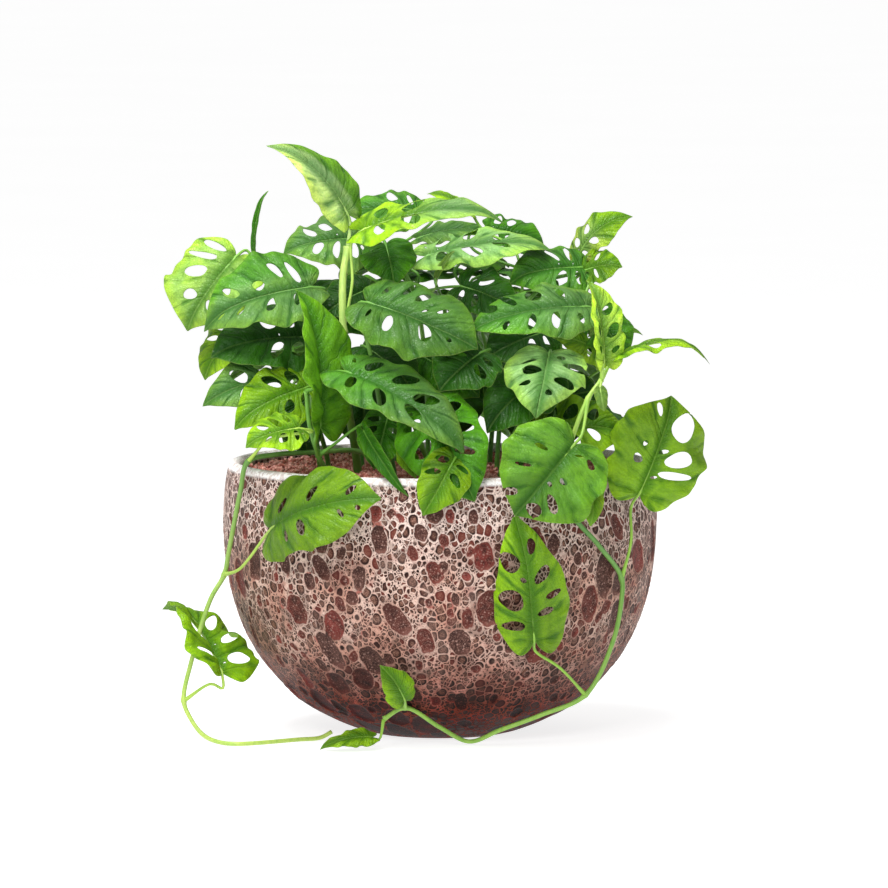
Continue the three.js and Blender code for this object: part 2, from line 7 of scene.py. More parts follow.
import bpy
import numpy as np
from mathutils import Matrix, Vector


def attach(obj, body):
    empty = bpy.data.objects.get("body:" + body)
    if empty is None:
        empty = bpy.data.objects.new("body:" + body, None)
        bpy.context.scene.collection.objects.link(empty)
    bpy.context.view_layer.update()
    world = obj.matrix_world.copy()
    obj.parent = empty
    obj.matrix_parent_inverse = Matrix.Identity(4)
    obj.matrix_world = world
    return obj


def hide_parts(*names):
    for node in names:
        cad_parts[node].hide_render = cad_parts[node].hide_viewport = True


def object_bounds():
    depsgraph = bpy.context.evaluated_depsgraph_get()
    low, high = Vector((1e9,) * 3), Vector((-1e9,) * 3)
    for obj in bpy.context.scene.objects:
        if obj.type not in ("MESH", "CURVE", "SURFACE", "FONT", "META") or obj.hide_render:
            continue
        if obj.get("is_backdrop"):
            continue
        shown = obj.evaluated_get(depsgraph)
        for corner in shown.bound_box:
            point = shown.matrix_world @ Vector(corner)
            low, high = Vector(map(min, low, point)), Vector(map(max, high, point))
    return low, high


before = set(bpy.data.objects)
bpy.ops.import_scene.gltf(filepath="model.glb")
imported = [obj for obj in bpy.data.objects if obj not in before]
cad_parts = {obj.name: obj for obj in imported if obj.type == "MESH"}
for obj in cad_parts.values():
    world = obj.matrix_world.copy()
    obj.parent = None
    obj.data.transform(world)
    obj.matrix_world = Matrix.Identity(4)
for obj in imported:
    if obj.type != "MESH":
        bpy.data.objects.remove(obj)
CAD_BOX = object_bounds()

MM = 0.001
CIRCLE = 2 * math.pi

# --- sizes, in millimetres

BOWL_OUTSIDE = [
    (45, 0), (56, 3), (73, 10), (94, 22), (110, 38), (124, 56), (134, 77), (141, 101), (144, 122),
    (145, 144), (144, 164), (142, 177),
]  # radius and height, from the foot to the rim
BOWL_FOOT = [(0.5, 0), (20, 0), (38, 0)]
BOWL_HEIGHT = 182
RIM_LEVEL = 177
LIP_RADIUS = 142
WALL = 9
GRANULE_TOP = 174
GRANULE_RADIUS = 132

STEM_RADIUS = 1.6
STEM_SIDES = 12
STEM_STEP = 2.0  # along its tube
STEM_TAPER = 0.2
STEM_FOOT = 150
NODE_SWELL = 0.35
NODE_REACH = 2.0
PETIOLE_RADIUS = 1.05
PETIOLE_SIDES = 8
PETIOLE_STEP = 2.5
PETIOLE_DROP = 0.8  # from a blade to the petiole's end under it
FLARE = 0.5
FLARE_REACH = 9
SHORT_PETIOLE = 12
LONGEST_LEAD = 12
LEAD_SHARE = 0.4
LEAD_BACK = 0.8
LEAD_DOWN = 0.6
RIB_POINTS = 16
RIB_END = 0.93
RIB_RADIUS = 0.85
RIB_DEPTH = 0.3

# Each side vein's foot on the midrib, and its end at the margin: along the leaf as a share of its length,
# and across it as a share of half its width.
SIDE_VEINS = [
    (0.0, -0.13, 0.4), (0.0, 0.03, 0.84), (0.15, 0.32, 1.0), (0.37, 0.61, 0.85), (0.6, 0.85, 0.45),
]
VEIN_BEND = 1.25  # how much a side vein curves towards the tip
OUTER_ROOM = 0.15  # before the first side vein, as a share of the length
HOLE_START = 0.17
HOLE_END = 0.8
MARGIN = [
    (0.0, 0.0), (-0.075, 0.13), (-0.13, 0.4), (-0.07, 0.66), (0.03, 0.84), (0.17, 0.97), (0.32, 1.0),
    (0.61, 0.85), (0.85, 0.45), (0.95, 0.15), (1.0, 0.0),
]
BLADE_THICKNESS = 0.5
BLADE_STEP = 0.9  # the least of its grid
BLADE_ROWS = 50  # of a long blade's grid
USUAL_WIDTH = 52  # of the leaf that the next four heights belong to
QUILT_HEIGHT = 1.5
GROOVE_DEPTH = 1.0
WAVE_HEIGHT = 2.1
DIMPLE_HEIGHT = 0.8
WAVES = [(1.5, 0.25, 1.0, 2), (3.1, -0.3, 0.8, 3), (5.7, 0.4, 0.4, 6)]  # pace, lag, share, phase
ROOM_SCALE = 20.0  # a length that counts as 1 in a blade's attribute, and so the next two
MIDRIB_SCALE = 10.0
MARGIN_SCALE = 8.0
EDGE_SCALE = 20.0  # the same in the bowl's tint

# What a leaf has unless its entry says otherwise.
PLAIN_LEAF = dict(
    fold=10, cup=0.22, arch=0.07, twist=0, blunt=0, petiole=PETIOLE_RADIUS, via=[], cuts=None, second=None
)

# The holes of the leaves that show most: how far along the leaf and across it, the hole's length and
# width, and how far it is turned from the midrib, in degrees.
CUTS = {
    "rim_right": [
        (50, -12, 18, 17, 20), (29, -16, 20, 10, -70), (18, -17, 23, 6, -78), (31, -4, 7, 3, -61),
        (57, 9, 10, 4, 25), (33, 12, 4, 4, 0), (22, 14, 8, 6, 79), (13, -4, 5, 2, -70),
    ],
    "front_right": [
        (16, -16, 11, 3, -77), (33, -18, 11, 3, -60), (52, -13, 11, 5, -50), (25, 10, 6, 4, 71),
        (32, 4, 4, 3, 70), (52, 7, 12, 8, 70), (42, 14, 14, 6, 60), (5, 17, 8, 5, 50), (5, 8, 7, 2, -67),
    ],
    "rim_left": [
        (15, 10, 12, 5, 50), (43, 10, 13, 6, 55), (72, 7, 10, 4, 45), (66, -9, 9, 3, -50),
        (78, -7, 6, 3, -45), (36, -13, 15, 6, -60), (20, -14, 10, 4, -70),
    ],
    "trailing": [
        (56, 11, 16, 11, 40), (30, 13, 17, 14, 75), (12, 13, 15, 7, 80), (43, 4, 6, 3, 45),
        (65, -5, 12, 5, -20), (46, -9, 14, 8, -35), (20, -9, 12, 5, -65), (32, -15, 11, 5, -60),
    ],
    "middle": [
        (23, -14, 15, 7, -75), (48, -9, 15, 9, -50), (39, 8, 5, 3, 50), (50, 12, 8, 4, 50),
        (20, 20, 14, 4, 75), (6, 14, 10, 4, 80), (7, -12, 8, 3, -85), (64, -6, 6, 3, -40),
        (32, 17, 12, 5, 65),
    ],
    "left_wide": [
        (8, -12, 20, 5, -78), (19, -17, 14, 6, -69), (33, -8, 9, 7, -50), (52, -9, 13, 6, -45),
        (12, 13, 13, 5, 75), (30, 14, 14, 7, 65), (50, 10, 10, 5, 50), (63, 4, 6, 3, 30),
    ],
    "left_pale": [
        (1, -16, 18, 5, -85), (11, -18, 20, 5, -75), (24, -15, 18, 7, -65), (40, -9, 10, 7, -50),
        (26, 12, 14, 6, 65), (10, 16, 14, 6, 75), (42, 9, 9, 5, 50),
    ],
    "right_wide": [
        (64, -10, 12, 8, -45), (50, -12, 14, 7, -55), (33, -14, 13, 9, -65), (15, -14, 12, 5, -75),
        (41, 13, 15, 5, 60), (25, 14, 14, 5, 68), (8, 14, 10, 4, 80), (58, 10, 9, 4, 50),
    ],
    "right_low": [
        (34, 14, 15, 11, 60), (16, 19, 14, 9, 75), (14, -12, 12, 4, -70), (24, -9, 13, 7, -60),
        (37, -12, 9, 4, -50), (43, 5, 7, 4, 40), (8, 9, 6, 3, 80),
    ],
}


def leaf(on, base, tip, face, width, tone, holes=3, **more):
    """A leaf: the point of its stem that it is on, the ends of its blade, the way it faces, and the rest.

    The holes are those on each side of the midrib, for a leaf that has no list of cuts.
    """
    placed = {"on": on, "base": base, "tip": tip, "face": face}
    return {**PLAIN_LEAF, **placed, "width": width, "tone": tone, "holes": holes, **more}


def shoot(path, *leaves):
    return {"path": path, "leaves": leaves}


# --- the leafy stems

STEMS = {
    "vine_left": shoot(
        [(-38, -38, 178), (-52, -44, 191), (-84, -56, 192), (-110, -63, 191), (-127, -68, 187),
         (-132, -70, 167), (-140, -62, 126), (-143, -60, 111), (-152, -62, 95), (-165, -62, 53),
         (-170, -62, 27), (-165, -66, 15), (-157, -75, 6), (-146, -88, 2.6), (-134, -96, 2.4),
         (-94, -72, 2.4), (-79, -62, 2.6), (-72, -59, 6)],
        leaf(5, (-93, -108, 213), (-128, -118, 203), (-1, -7, 8), 38, "lime", via=[(-112, -84, 203)]),
        leaf(8, (-111, -108, 147), (-40, -157, 171), (-2, -9, 5), 58, "grass", via=[(-132, -78, 117)],
             arch=0.13, blunt=0.7, cuts="rim_left"),
        leaf(11, (-144, -70, 48), (-179, -23, 90), (6, -2, 8), 72, "vine", via=[(-152, -68, 39)],
             fold=27),
    ),
    "vine_right": shoot(
        [(62, -84, 178), (66, -94, 190), (77, -117, 188), (84, -126, 176), (86, -126, 159),
         (104, -111, 136), (120, -86, 111), (120, -88, 98), (114, -90, 69), (96, -96, 35), (67, -98, 22),
         (40, -98, 12), (19, -86, 2.8), (0, -92, 13), (-23, -101, 27), (-37, -105, 20)],
        leaf(7, (132, -92, 168), (154, -88, 232), (4, -9, 1), 66, "verdant", via=[(126, -91, 136)],
             fold=20, blunt=0.9, cuts="rim_right"),
        leaf(10, (62, -129, 75), (55, -144, 158), (0, -10, 1), 49, "vine", via=[(78, -117, 56)],
             second=("grass", "right"), cuts="trailing"),
        leaf(15, (-23, -118, 34), (-36, -137, 59), (0, -10, 4), 22, "vine", 0),
        leaf(16, (-45, -110, 9), (-79, -118, 2), (0, -3, 9), 20, "lime", 0, petiole=0.8),
    ),
    "stem_front_right": shoot(
        [(82, -88, 178), (83, -112, 191), (87, -121, 208), (97, -120, 233), (106, -114, 245)],
        leaf(4, (88, -141, 205), (50, -160, 160), (1, -10, 2), 70, "front", cup=0.2, arch=0.02, blunt=0.5,
             cuts="front_right"),
        leaf(5, (108, -119, 258), (98, -112, 311), (7, -7, 0), 38, "spring", fold=40),
        leaf(5, (119, -110, 261), (177, -104, 262), (0, -1, 9), 34, "lime", 2, arch=0.15),
        leaf(5, (105, -122, 240), (107, -125, 225), (0, -9, 1), 9, "pale", 0, petiole=0.7),
        leaf(2, (98, -139, 184), (100, -150, 152), (4, -9, 2), 18, "lime", 0, via=[(95, -131, 194)]),
    ),
    "stem_tall": shoot(
        [(-55, -20, 178), (-62, -46, 230), (-64, -62, 273), (-64, -58, 310), (-61, -52, 328)],
        leaf(5, (-61, -52, 351), (-110, -70, 401), (5, -7, 4), 36, "cream", 0, fold=20, arch=0.11,
             twist=50, second=("front", "right")),
        leaf(3, (-50, -58, 341), (43, -75, 354), (0, -3, 9), 44, "lime", 2, via=[(-58, -61, 305)],
             twist=-34, second=("mist", "tip")),
    ),
    "stem_top_left": shoot(
        [(-20, -22, 178), (-22, -22, 240), (-30, -24, 290), (-44, -8, 316)],
        leaf(4, (-56, 13, 330), (-104, -2, 322), (-1, -5, 8), 58, "sage"),
        leaf(4, (-15, 42, 347), (-64, 44, 345), (0, -5, 8), 40, "top", 2),
        leaf(3, (-47, -28, 299), (-79, -42, 282), (0, -7, 7), 36, "deep", 0),
        leaf(3, (-52, 4, 246), (-50, -2, 190), (0, -9, 2), 54, "deep", 0),
    ),
    "stem_left_high": shoot(
        [(-75, 15, 178), (-90, 0, 230), (-103, 3, 270), (-111, 11, 293)],
        leaf(4, (-137, 26, 317), (-171, 4, 270), (-4, -8, 3), 64, "celery", via=[(-120, 28, 303)],
             blunt=0.5, cuts="left_pale"),
        leaf(2, (-137, 14, 271), (-158, 4, 236), (-5, -7, 3), 38, "lime", 2, via=[(-112, -3, 250)]),
        leaf(3, (-86, -50, 302), (-158, -62, 281), (-1, -7, 7), 66, "sage", fold=20,
             second=("top", "right"), cuts="left_wide"),
        leaf(3, (-84, -8, 297), (-44, -34, 270), (0, -6, 7), 44, "deep", 0),
        leaf(4, (-124, 2, 322), (-116, 8, 364), (-7, -7, 0), 7, "mid", 0, fold=40, petiole=0.6),
    ),
    "stem_left_low": shoot(
        [(-80, -25, 178), (-84, -32, 215), (-86, -36, 245), (-85, -36, 260)],
        leaf(4, (-90, -42, 268), (-152, -62, 259), (-1, -7, 7), 56, "deep", 2),
        leaf(3, (-92, -50, 244), (-158, -72, 229), (-1, -8, 6), 44, "sage"),
        leaf(2, (-87, -68, 237), (-137, -90, 215), (-1, -8, 6), 46, "vine", 2),
        leaf(2, (-97, -8, 224), (-88, -20, 186), (0, -9, 2), 34, "deep", 0, via=[(-92, -14, 238)]),
    ),
    "stem_front_left": shoot(
        [(-74, -72, 178), (-80, -84, 192), (-86, -92, 214), (-88, -95, 236)],
        leaf(2, (-78, -101, 214), (-91, -92, 304), (9, -6, 1), 62, "fresh", 0, fold=30),
        leaf(4, (-61, -104, 250), (18, -146, 204), (2, -6, 7), 54, "top", via=[(-80, -108, 240)],
             second=("sage", "tip")),
        leaf(2, (-50, -112, 211), (-22, -148, 174), (-5, -7, 3), 14, "mid", 0, fold=30, petiole=1),
    ),
    "stem_middle": shoot(
        [(-30, -70, 178), (-38, -72, 215), (-44, -70, 250), (-50, -72, 275)],
        leaf(4, (-47, -84, 294), (23, -113, 264), (0, -7, 7), 60, "dusk", blunt=0.5, cuts="middle"),
        leaf(3, (-49, -62, 263), (-16, -90, 237), (0, -7, 6), 44, "deep", 0),
        leaf(2, (-34, -90, 220), (-42, -109, 186), (-1, -9, 3), 36, "mid", 2),
        leaf(2, (27, -97, 262), (0, -117, 239), (1, -7, 7), 48, "deep", 2),
        leaf(3, (-14, -62, 258), (26, -76, 232), (0, -8, 5), 46, "mid", 0),
    ),
    "stem_middle_low": shoot(
        [(-5, -88, 178), (-12, -98, 200), (-20, -106, 222)],
        leaf(3, (-10, -118, 226), (24, -149, 171), (-1, -9, 3), 58, "mid"),
        leaf(1, (10, -141, 196), (-10, -157, 160), (0, -9, 2), 34, "vine", 2),
        leaf(2, (-24, -118, 199), (-15, -132, 183), (0, -9, 3), 14, "vine", 0),
    ),
    "stem_top": shoot(
        [(-8, 10, 178), (-10, 8, 250), (-17, -2, 294), (-24, -10, 309)],
        leaf(3, (-36, -32, 329), (-30, -56, 304), (0, -7, 6), 38, "mid", 0),
        leaf(4, (-14, 6, 331), (32, 2, 336), (0, -4, 9), 30, "sage", 0),
        leaf(4, (-8, -20, 321), (75, -22, 327), (0, -3, 9), 48, "mist"),
        leaf(3, (14, -44, 302), (52, -58, 286), (0, -7, 7), 42, "deep", 2),
        leaf(3, (6, 26, 252), (10, 22, 194), (0, -9, 2), 56, "deep", 0),
        leaf(3, (-2, -36, 308), (10, -38, 325), (-7, -7, 0), 7, "pale", 0, fold=40, petiole=0.6),
    ),
    "stem_top_right": shoot(
        [(38, -5, 178), (44, -8, 240), (56, -20, 286), (74, -16, 305)],
        leaf(3, (22, 27, 346), (-8, 32, 360), (0, -1, 9), 26, "lime", 0, via=[(50, 6, 322)]),
        leaf(4, (33, 52, 334), (72, 54, 322), (0, -6, 8), 42, "mid", 2, via=[(23, 24, 321)]),
        leaf(4, (94, -20, 313), (46, -32, 306), (0, -7, 7), 50, "top", 2),
        leaf(3, (56, 14, 250), (58, 6, 192), (0, -9, 2), 56, "deep", 0),
        leaf(4, (92, 2, 318), (128, 0, 346), (-6, -6, 6), 32, "pale", 2, arch=0.18,
             second=("vine", "tip")),
        leaf(3, (96, -22, 311), (121, -28, 315), (0, -6, 8), 34, "vine", 2),
    ),
    "stem_right_mid": shoot(
        [(70, -35, 178), (80, -45, 230), (88, -52, 268), (92, -58, 284)],
        leaf(4, (97, -77, 291), (19, -94, 277), (0, -5, 8), 50, "sage", second=("top", "tip"),
             cuts="right_wide"),
        leaf(4, (104, -51, 298), (101, -58, 268), (8, -3, 2), 20, "pale", 0),
        leaf(3, (86, -18, 238), (82, -32, 194), (1, -9, 3), 42, "deep", 0),
        leaf(2, (70, -48, 272), (30, -64, 255), (0, -7, 7), 46, "deep", 2),
        leaf(2, (107, -50, 259), (76, -66, 270), (0, -7, 7), 36, "lime", 2, via=[(106, -44, 246)]),
        leaf(3, (98, -40, 284), (124, -52, 256), (2, -8, 5), 42, "mid", 2),
        leaf(3, (113, -22, 262), (135, -23, 268), (0, -3, 9), 20, "lime", 0, arch=0.3),
    ),
    "stem_right_low": shoot(
        [(40, -60, 178), (52, -70, 212), (66, -76, 239)],
        leaf(3, (72, -88, 261), (65, -134, 225), (0, -6, 8), 56, "mist", cuts="right_low"),
        leaf(3, (71, -86, 247), (28, -113, 214), (0, -8, 6), 48, "deep", 2),
        leaf(2, (68, -94, 211), (124, -92, 211), (0, -8, 6), 48, "vine"),
        leaf(2, (70, -60, 226), (106, -64, 234), (0, -8, 5), 42, "deep", 2),
    ),
}

SPRAYS = {  # with the way that each leans, in degrees about the bowl
    "spray_right": 28, "spray_right_back": 57, "spray_back": 86, "spray_left_back": 118,
    "spray_left": 148,
}
SPRAY_PATH = [(62, 178), (66, 214), (58, 250), (44, 284)]
SPRAY_LEAVES = [  # on, turn, height, reach, length, fall, tone
    (2, -16, 222, 98, 74, 40, "mid"), (3, 15, 258, 86, 76, 30, "mid"),
    (4, -8, 286, 66, 76, 20, "top"), (4, 10, 302, 34, 72, 8, "top"),
]
SPRAY_WIDTH = 50
SPRAY_STEP = 9
SPRAY_JITTER = 4
SPRAY_SEED = 7919
DRAW_FACTOR = 16807
DRAW_PRIME = 2147483647


def polar(degrees, radius, height):
    angle = math.radians(degrees)
    return (radius * math.cos(angle), radius * math.sin(angle), height)


def spray(lean, order):
    """One leafy stem of the far side, by the same rule as its solid."""
    state = SPRAY_SEED * (order + 1)

    def jitter():
        nonlocal state
        state = (state * DRAW_FACTOR) % DRAW_PRIME
        return (state / DRAW_PRIME * 2 - 1) * SPRAY_JITTER

    leaves = []
    for on, turn, height, reach, length, fall, tone in SPRAY_LEAVES:
        heading = lean + turn
        out = math.sqrt(length * length - fall * fall)
        z = height + (order % 2) * SPRAY_STEP + jitter()
        tip_turn = heading + jitter()
        base = polar(heading, reach, z)
        tip = polar(tip_turn, reach + out, z - fall + jitter())
        leaves.append(leaf(on, base, tip, polar(heading, 5, 9), SPRAY_WIDTH, tone, 2))
    return shoot([polar(lean, reach, height) for reach, height in SPRAY_PATH], *leaves)


# --- colours


def rgb(code):
    """A colour's linear values from its usual six-digit code."""
    channels = [int(code[i:i + 2], 16) / 255 for i in (0, 2, 4)]
    return tuple(c / 12.92 if c <= 0.04045 else ((c + 0.055) / 1.055) ** 2.4 for c in channels)


# The deep tone is painted shade: it goes on the leaves that hang hidden inside the plant, darkened as the
# shade there would darken them.
TONES = {
    "vine": "86b818", "front": "6ea834", "lime": "9ccc2a", "spring": "bce65a", "celery": "a6d262",
    "verdant": "8cbe26", "grass": "78a620", "pale": "b2d070", "cream": "d2f0ae", "mist": "9aca78",
    "sage": "6c9c50", "dusk": "558638", "top": "5c9c34", "fresh": "6aaa1c", "mid": "509614",
    "deep": "2f6610",
}
STEM_TONES = {  # where a stem leaves the soil, and at its end
    "vine_left": ("6f9a4a", "b6cf62"), "vine_right": ("5c8f40", "8fb84c"),
    "stem_front_right": ("a9cc5a", "a9cc5a"), "stem_tall": ("5e8c34", "bcd670"),
}
OTHER_STEM = ("5f9a3a", "74a844")
THICK_STEMS = {"stem_tall": 2.7}


# --- curves and meshes


def put(name, data):
    """A new object of the scene."""
    thing = bpy.data.objects.new(name, data)
    bpy.context.scene.collection.objects.link(thing)
    return thing


def unit(v):
    return v / (np.linalg.norm(v) + 1e-12)


def ramp(value, low, span):
    """From 0 up to 1, as a value goes from low through a span."""
    return np.clip((value - low) / span, 0, 1)


def run(points):
    """How far along a line each of its points lies."""
    return np.concatenate([[0], np.cumsum(np.linalg.norm(np.diff(points, axis=0), axis=1))])


def padded(points):
    """The points of a curve with one more before the first and after the last."""
    return np.vstack([2 * points[0] - points[1], points, 2 * points[-1] - points[-2]])


def smooth_path(points, step):
    """A centripetal Catmull-Rom curve through the points, and how far along it each of them lies."""
    points = np.array(points, float)
    knots = padded(points)
    samples = [points[0]]
    marks = [0.0]
    for p0, p1, p2, p3 in zip(knots, knots[1:], knots[2:], knots[3:]):
        t0, t1, t2 = (max(np.linalg.norm(b - a), 1e-6) ** 0.5 for a, b in ((p0, p1), (p1, p2), (p2, p3)))
        m1 = (p1 - p0) / t0 - (p2 - p0) / (t0 + t1) + (p2 - p1) / t1
        m2 = (p2 - p1) / t1 - (p3 - p1) / (t1 + t2) + (p3 - p2) / t2
        m1, m2 = m1 * t1, m2 * t1
        count = max(2, int(np.linalg.norm(p2 - p1) / step))
        length = marks[-1]
        for t in np.linspace(0, 1, count + 1)[1:]:
            q = (2 * t**3 - 3 * t**2 + 1) * p1 + (t**3 - 2 * t**2 + t) * m1
            q = q + (3 * t**2 - 2 * t**3) * p2 + (t**3 - t**2) * m2
            length += np.linalg.norm(q - samples[-1])
            samples.append(q)
        marks.append(length)
    return np.array(samples), np.array(marks)


def spline_2d(points, count):
    """A Catmull-Rom curve through points in a plane."""
    points = np.array(points, float)
    knots = padded(points)
    out = []
    for a, b, c, d in zip(knots, knots[1:], knots[2:], knots[3:]):
        t = np.linspace(0, 1, count, endpoint=False)[:, None]
        square, cube = 2 * a - 5 * b + 4 * c - d, 3 * b - a - 3 * c + d
        out.append(0.5 * (2 * b + (c - a) * t + square * t**2 + cube * t**3))
    return np.vstack(out + [points[-1:]])


def tube_faces(at, rings, sides):
    """The faces between one ring of points and the next, and one over each end."""
    faces = []
    last = at + (rings - 1) * sides
    for a in range(at, last, sides):
        b = a + sides
        for k in range(sides):
            l = (k + 1) % sides
            faces.append((a + k, a + l, b + l, b + k))
    return faces + [tuple(reversed(range(at, at + sides))), tuple(range(last, last + sides))]


class Skin:
    """Gathers the points and faces of one piece, with what its materials read at each point."""

    def __init__(self):
        self.points = []
        self.tint = []
        self.uv = []
        self.data = []
        self.faces = []
        self.slots = []
        self.flat = []
        self.count = 0

    def add_points(self, points, tint, uv=(0, 0), data=(0, 0, 0, 1)):
        n = len(points)
        stores = (self.points, points, 3), (self.tint, tint, 3), (self.uv, uv, 2), (self.data, data, 4)
        for store, values, width in stores:
            store.append(np.broadcast_to(np.asarray(values, float), (n, width)))
        self.count += n
        return self.count - n

    def add_faces(self, faces, slot=0, flat=False):
        self.faces.extend(faces)
        self.slots.extend([slot] * len(faces))
        self.flat.extend([flat] * len(faces))

    def tube(self, centres, radii, sides, tint):
        """A closed tube of the given radii along the centres, in one tint or in one for each of them."""
        first = np.array([0.31, 0.17, 0.93])
        angles = np.arange(sides) * CIRCLE / sides
        rings = []
        for centre, tangent, radius in zip(centres, np.gradient(centres, axis=0), radii):
            tangent = unit(tangent)
            first = unit(first - first.dot(tangent) * tangent)
            ring = np.outer(np.cos(angles), first) + np.outer(np.sin(angles), np.cross(tangent, first))
            rings.append(centre + radius * ring)
        tints = np.repeat(np.broadcast_to(tint, (len(rings), 3)), sides, axis=0)
        at = self.add_points(np.vstack(rings), tints)
        self.add_faces(tube_faces(at, len(rings), sides), 1)

    def piece(self, name, materials):
        mesh = bpy.data.meshes.new(name)
        mesh.from_pydata((np.vstack(self.points) * MM).tolist(), [], self.faces)
        for material in materials:
            mesh.materials.append(material)
        mesh.polygons.foreach_set("material_index", self.slots)
        mesh.polygons.foreach_set("use_smooth", [True] * len(self.faces))
        sharp = mesh.attributes.new("sharp_face", "BOOLEAN", "FACE")
        sharp.data.foreach_set("value", self.flat)
        tint = np.hstack([np.vstack(self.tint), np.ones((self.count, 1))])
        for key, values in (("tint", tint), ("blade", np.vstack(self.data))):
            layer = mesh.color_attributes.new(key, "FLOAT_COLOR", "POINT")
            layer.data.foreach_set("color", values.ravel())
        corners = np.zeros(len(mesh.loops), int)
        mesh.loops.foreach_get("vertex_index", corners)
        layer = mesh.uv_layers.new(name="veins")
        layer.data.foreach_set("uv", np.vstack(self.uv)[corners].ravel())
        mesh.update()
        piece = put(name, mesh)
        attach(piece, "root")
        return piece


# --- the blade of a leaf


def vein_line(k, v):
    """How far along the leaf side vein k is, at v of the way across."""
    foot, end, reach = SIDE_VEINS[k]
    return foot + (end - foot) * (np.abs(v) / reach) ** VEIN_BEND


def vein_number(u, v):
    """A number that is whole on each side vein, and the room between the two veins there."""
    lines = [vein_line(k, v) for k in range(len(SIDE_VEINS))] + [1.0 + 0.35 * np.abs(v)]
    number = (u - lines[0]) / OUTER_ROOM
    room = np.full_like(u, OUTER_ROOM)
    for k, (low, high) in enumerate(zip(lines, lines[1:])):
        width = np.maximum(high - low, 1e-4)
        inside = u >= low
        number = np.where(inside, k + np.minimum((u - low) / width, 1), number)
        room = np.where(inside, width, room)
    return number, room


def depth_inside(points, outline):
    """How far each point lies inside a closed outline, less than zero outside it."""
    a = outline
    edge = np.roll(a, -1, axis=0) - a
    to = points[:, None, :] - a[None]
    share = np.clip((to * edge).sum(-1) / np.maximum((edge * edge).sum(-1), 1e-9), 0, 1)
    distance = np.linalg.norm(to - edge * share[..., None], axis=-1).min(axis=1)
    ends = a + edge
    spans = (a[:, 1] > points[:, None, 1]) != (ends[:, 1] > points[:, None, 1])
    slope = edge[:, 0] / np.where(np.abs(edge[:, 1]) < 1e-9, 1e-9, edge[:, 1])
    crossing = a[:, 0] + (points[:, None, 1] - a[:, 1]) * slope
    inside = (spans & (points[:, None, 0] < crossing)).sum(axis=1) % 2 == 1
    return np.where(inside, distance, -distance)


def oval(middle, size, turn, rng):
    """An uneven oval, as a closed outline in millimetres along and across the leaf."""
    angle = np.linspace(0, CIRCLE, 24, endpoint=False)
    uneven = 1 + 0.10 * np.sin(2 * angle + rng.uniform(0, 6))
    uneven += 0.06 * np.sin(3 * angle + rng.uniform(0, 6))
    spot = np.stack([np.cos(angle) * size[0] / 2, np.sin(angle) * size[1] / 2], axis=1) * uneven[:, None]
    c, s = math.cos(math.radians(turn)), math.sin(math.radians(turn))
    return spot @ np.array([[c, s], [-s, c]]) + middle


def hole_outlines(entry, length, half, rng):
    """The holes of one leaf: those of its own list, or else ovals between its side veins."""
    if entry["cuts"]:
        return [oval((x, y), (long, wide), turn, rng) for x, y, long, wide, turn in CUTS[entry["cuts"]]]
    outlines = []

    def between(k, side, start, end, centre, share):
        """An oval from start to end of the way to the margin, centred between side veins k and k + 1."""
        ends = []
        for t in (start, end):
            across = [(j, SIDE_VEINS[j][2] * t) for j in (k, k + 1)]
            sides = [np.array([vein_line(j, v), v]) for j, v in across]
            ends.append((sides[0] * (1 - centre) + sides[1] * centre) * (length, half * side))
            gap = np.linalg.norm((sides[1] - sides[0]) * (length, half))
        way = ends[1] - ends[0]
        turn = math.degrees(math.atan2(way[1], way[0]))
        outlines.append(oval((ends[0] + ends[1]) / 2, (np.linalg.norm(way), gap * share), turn, rng))

    for side in (1, -1):
        for k in range(1, entry["holes"] + 1):
            start = HOLE_START + rng.uniform(-0.02, 0.12)
            end = HOLE_END + rng.uniform(-0.12, 0.05)
            between(k, side, start, end, 0.5 + rng.uniform(-0.05, 0.05), rng.uniform(0.3, 0.52))
            if rng.uniform() < 0.6:
                near = rng.uniform(0.06, 0.09)
                between(k, side, near, near + 0.07, rng.uniform(0.35, 0.65), rng.uniform(0.08, 0.14))
        if entry["holes"] > 2 and rng.uniform() < 0.6:
            between(0, side, 0.42, rng.uniform(0.6, 0.75), 0.6, 0.22)
    return outlines


def cut_sheet(xs, ys, field):
    """The part of a grid where field is over zero, as grid positions and faces, cut along its edge."""
    spots = []
    index = {}

    def spot(key, x, y):
        if key not in index:
            index[key] = len(spots)
            spots.append((x, y))
        return index[key]

    faces = []
    inside = field > 0
    for i in range(len(xs) - 1):
        for j in range(len(ys) - 1):
            ring = ((i, j), (i + 1, j), (i + 1, j + 1), (i, j + 1))
            flags = [inside[c] for c in ring]
            if not any(flags):
                continue
            face = []
            for c, d, here, there in zip(ring, ring[1:] + ring[:1], flags, flags[1:] + flags[:1]):
                if here:
                    face.append(spot(c, xs[c[0]], ys[c[1]]))
                if here != there:
                    low, high = min(c, d), max(c, d)
                    share = min(0.93, max(0.07, field[low] / (field[low] - field[high])))
                    x = xs[low[0]] + (xs[high[0]] - xs[low[0]]) * share
                    y = ys[low[1]] + (ys[high[1]] - ys[low[1]]) * share
                    face.append(spot((low, high), x, y))
            faces.append(tuple(face))
    return np.array(spots), faces


def blade_outline(entry, length, half, phase):
    """The margin of a blade, as a closed outline in millimetres along and across it."""
    along, across = spline_2d(MARGIN, 6).T
    full = entry["blunt"] * 0.3 * np.sin(math.pi * ramp(along, 0.3, 0.7))
    sides = []
    for sign, start in ((1, phase[0]), (-1, phase[1])):
        uneven = 1 + 0.04 * np.sin(9 * along + start)
        uneven += 0.025 * np.sin(21 * along + 2 * start)
        sides.append(np.stack([along, sign * (across + full) * uneven], axis=1))
    return np.vstack([sides[0][:-1], sides[1][:0:-1]]) * (length, half)


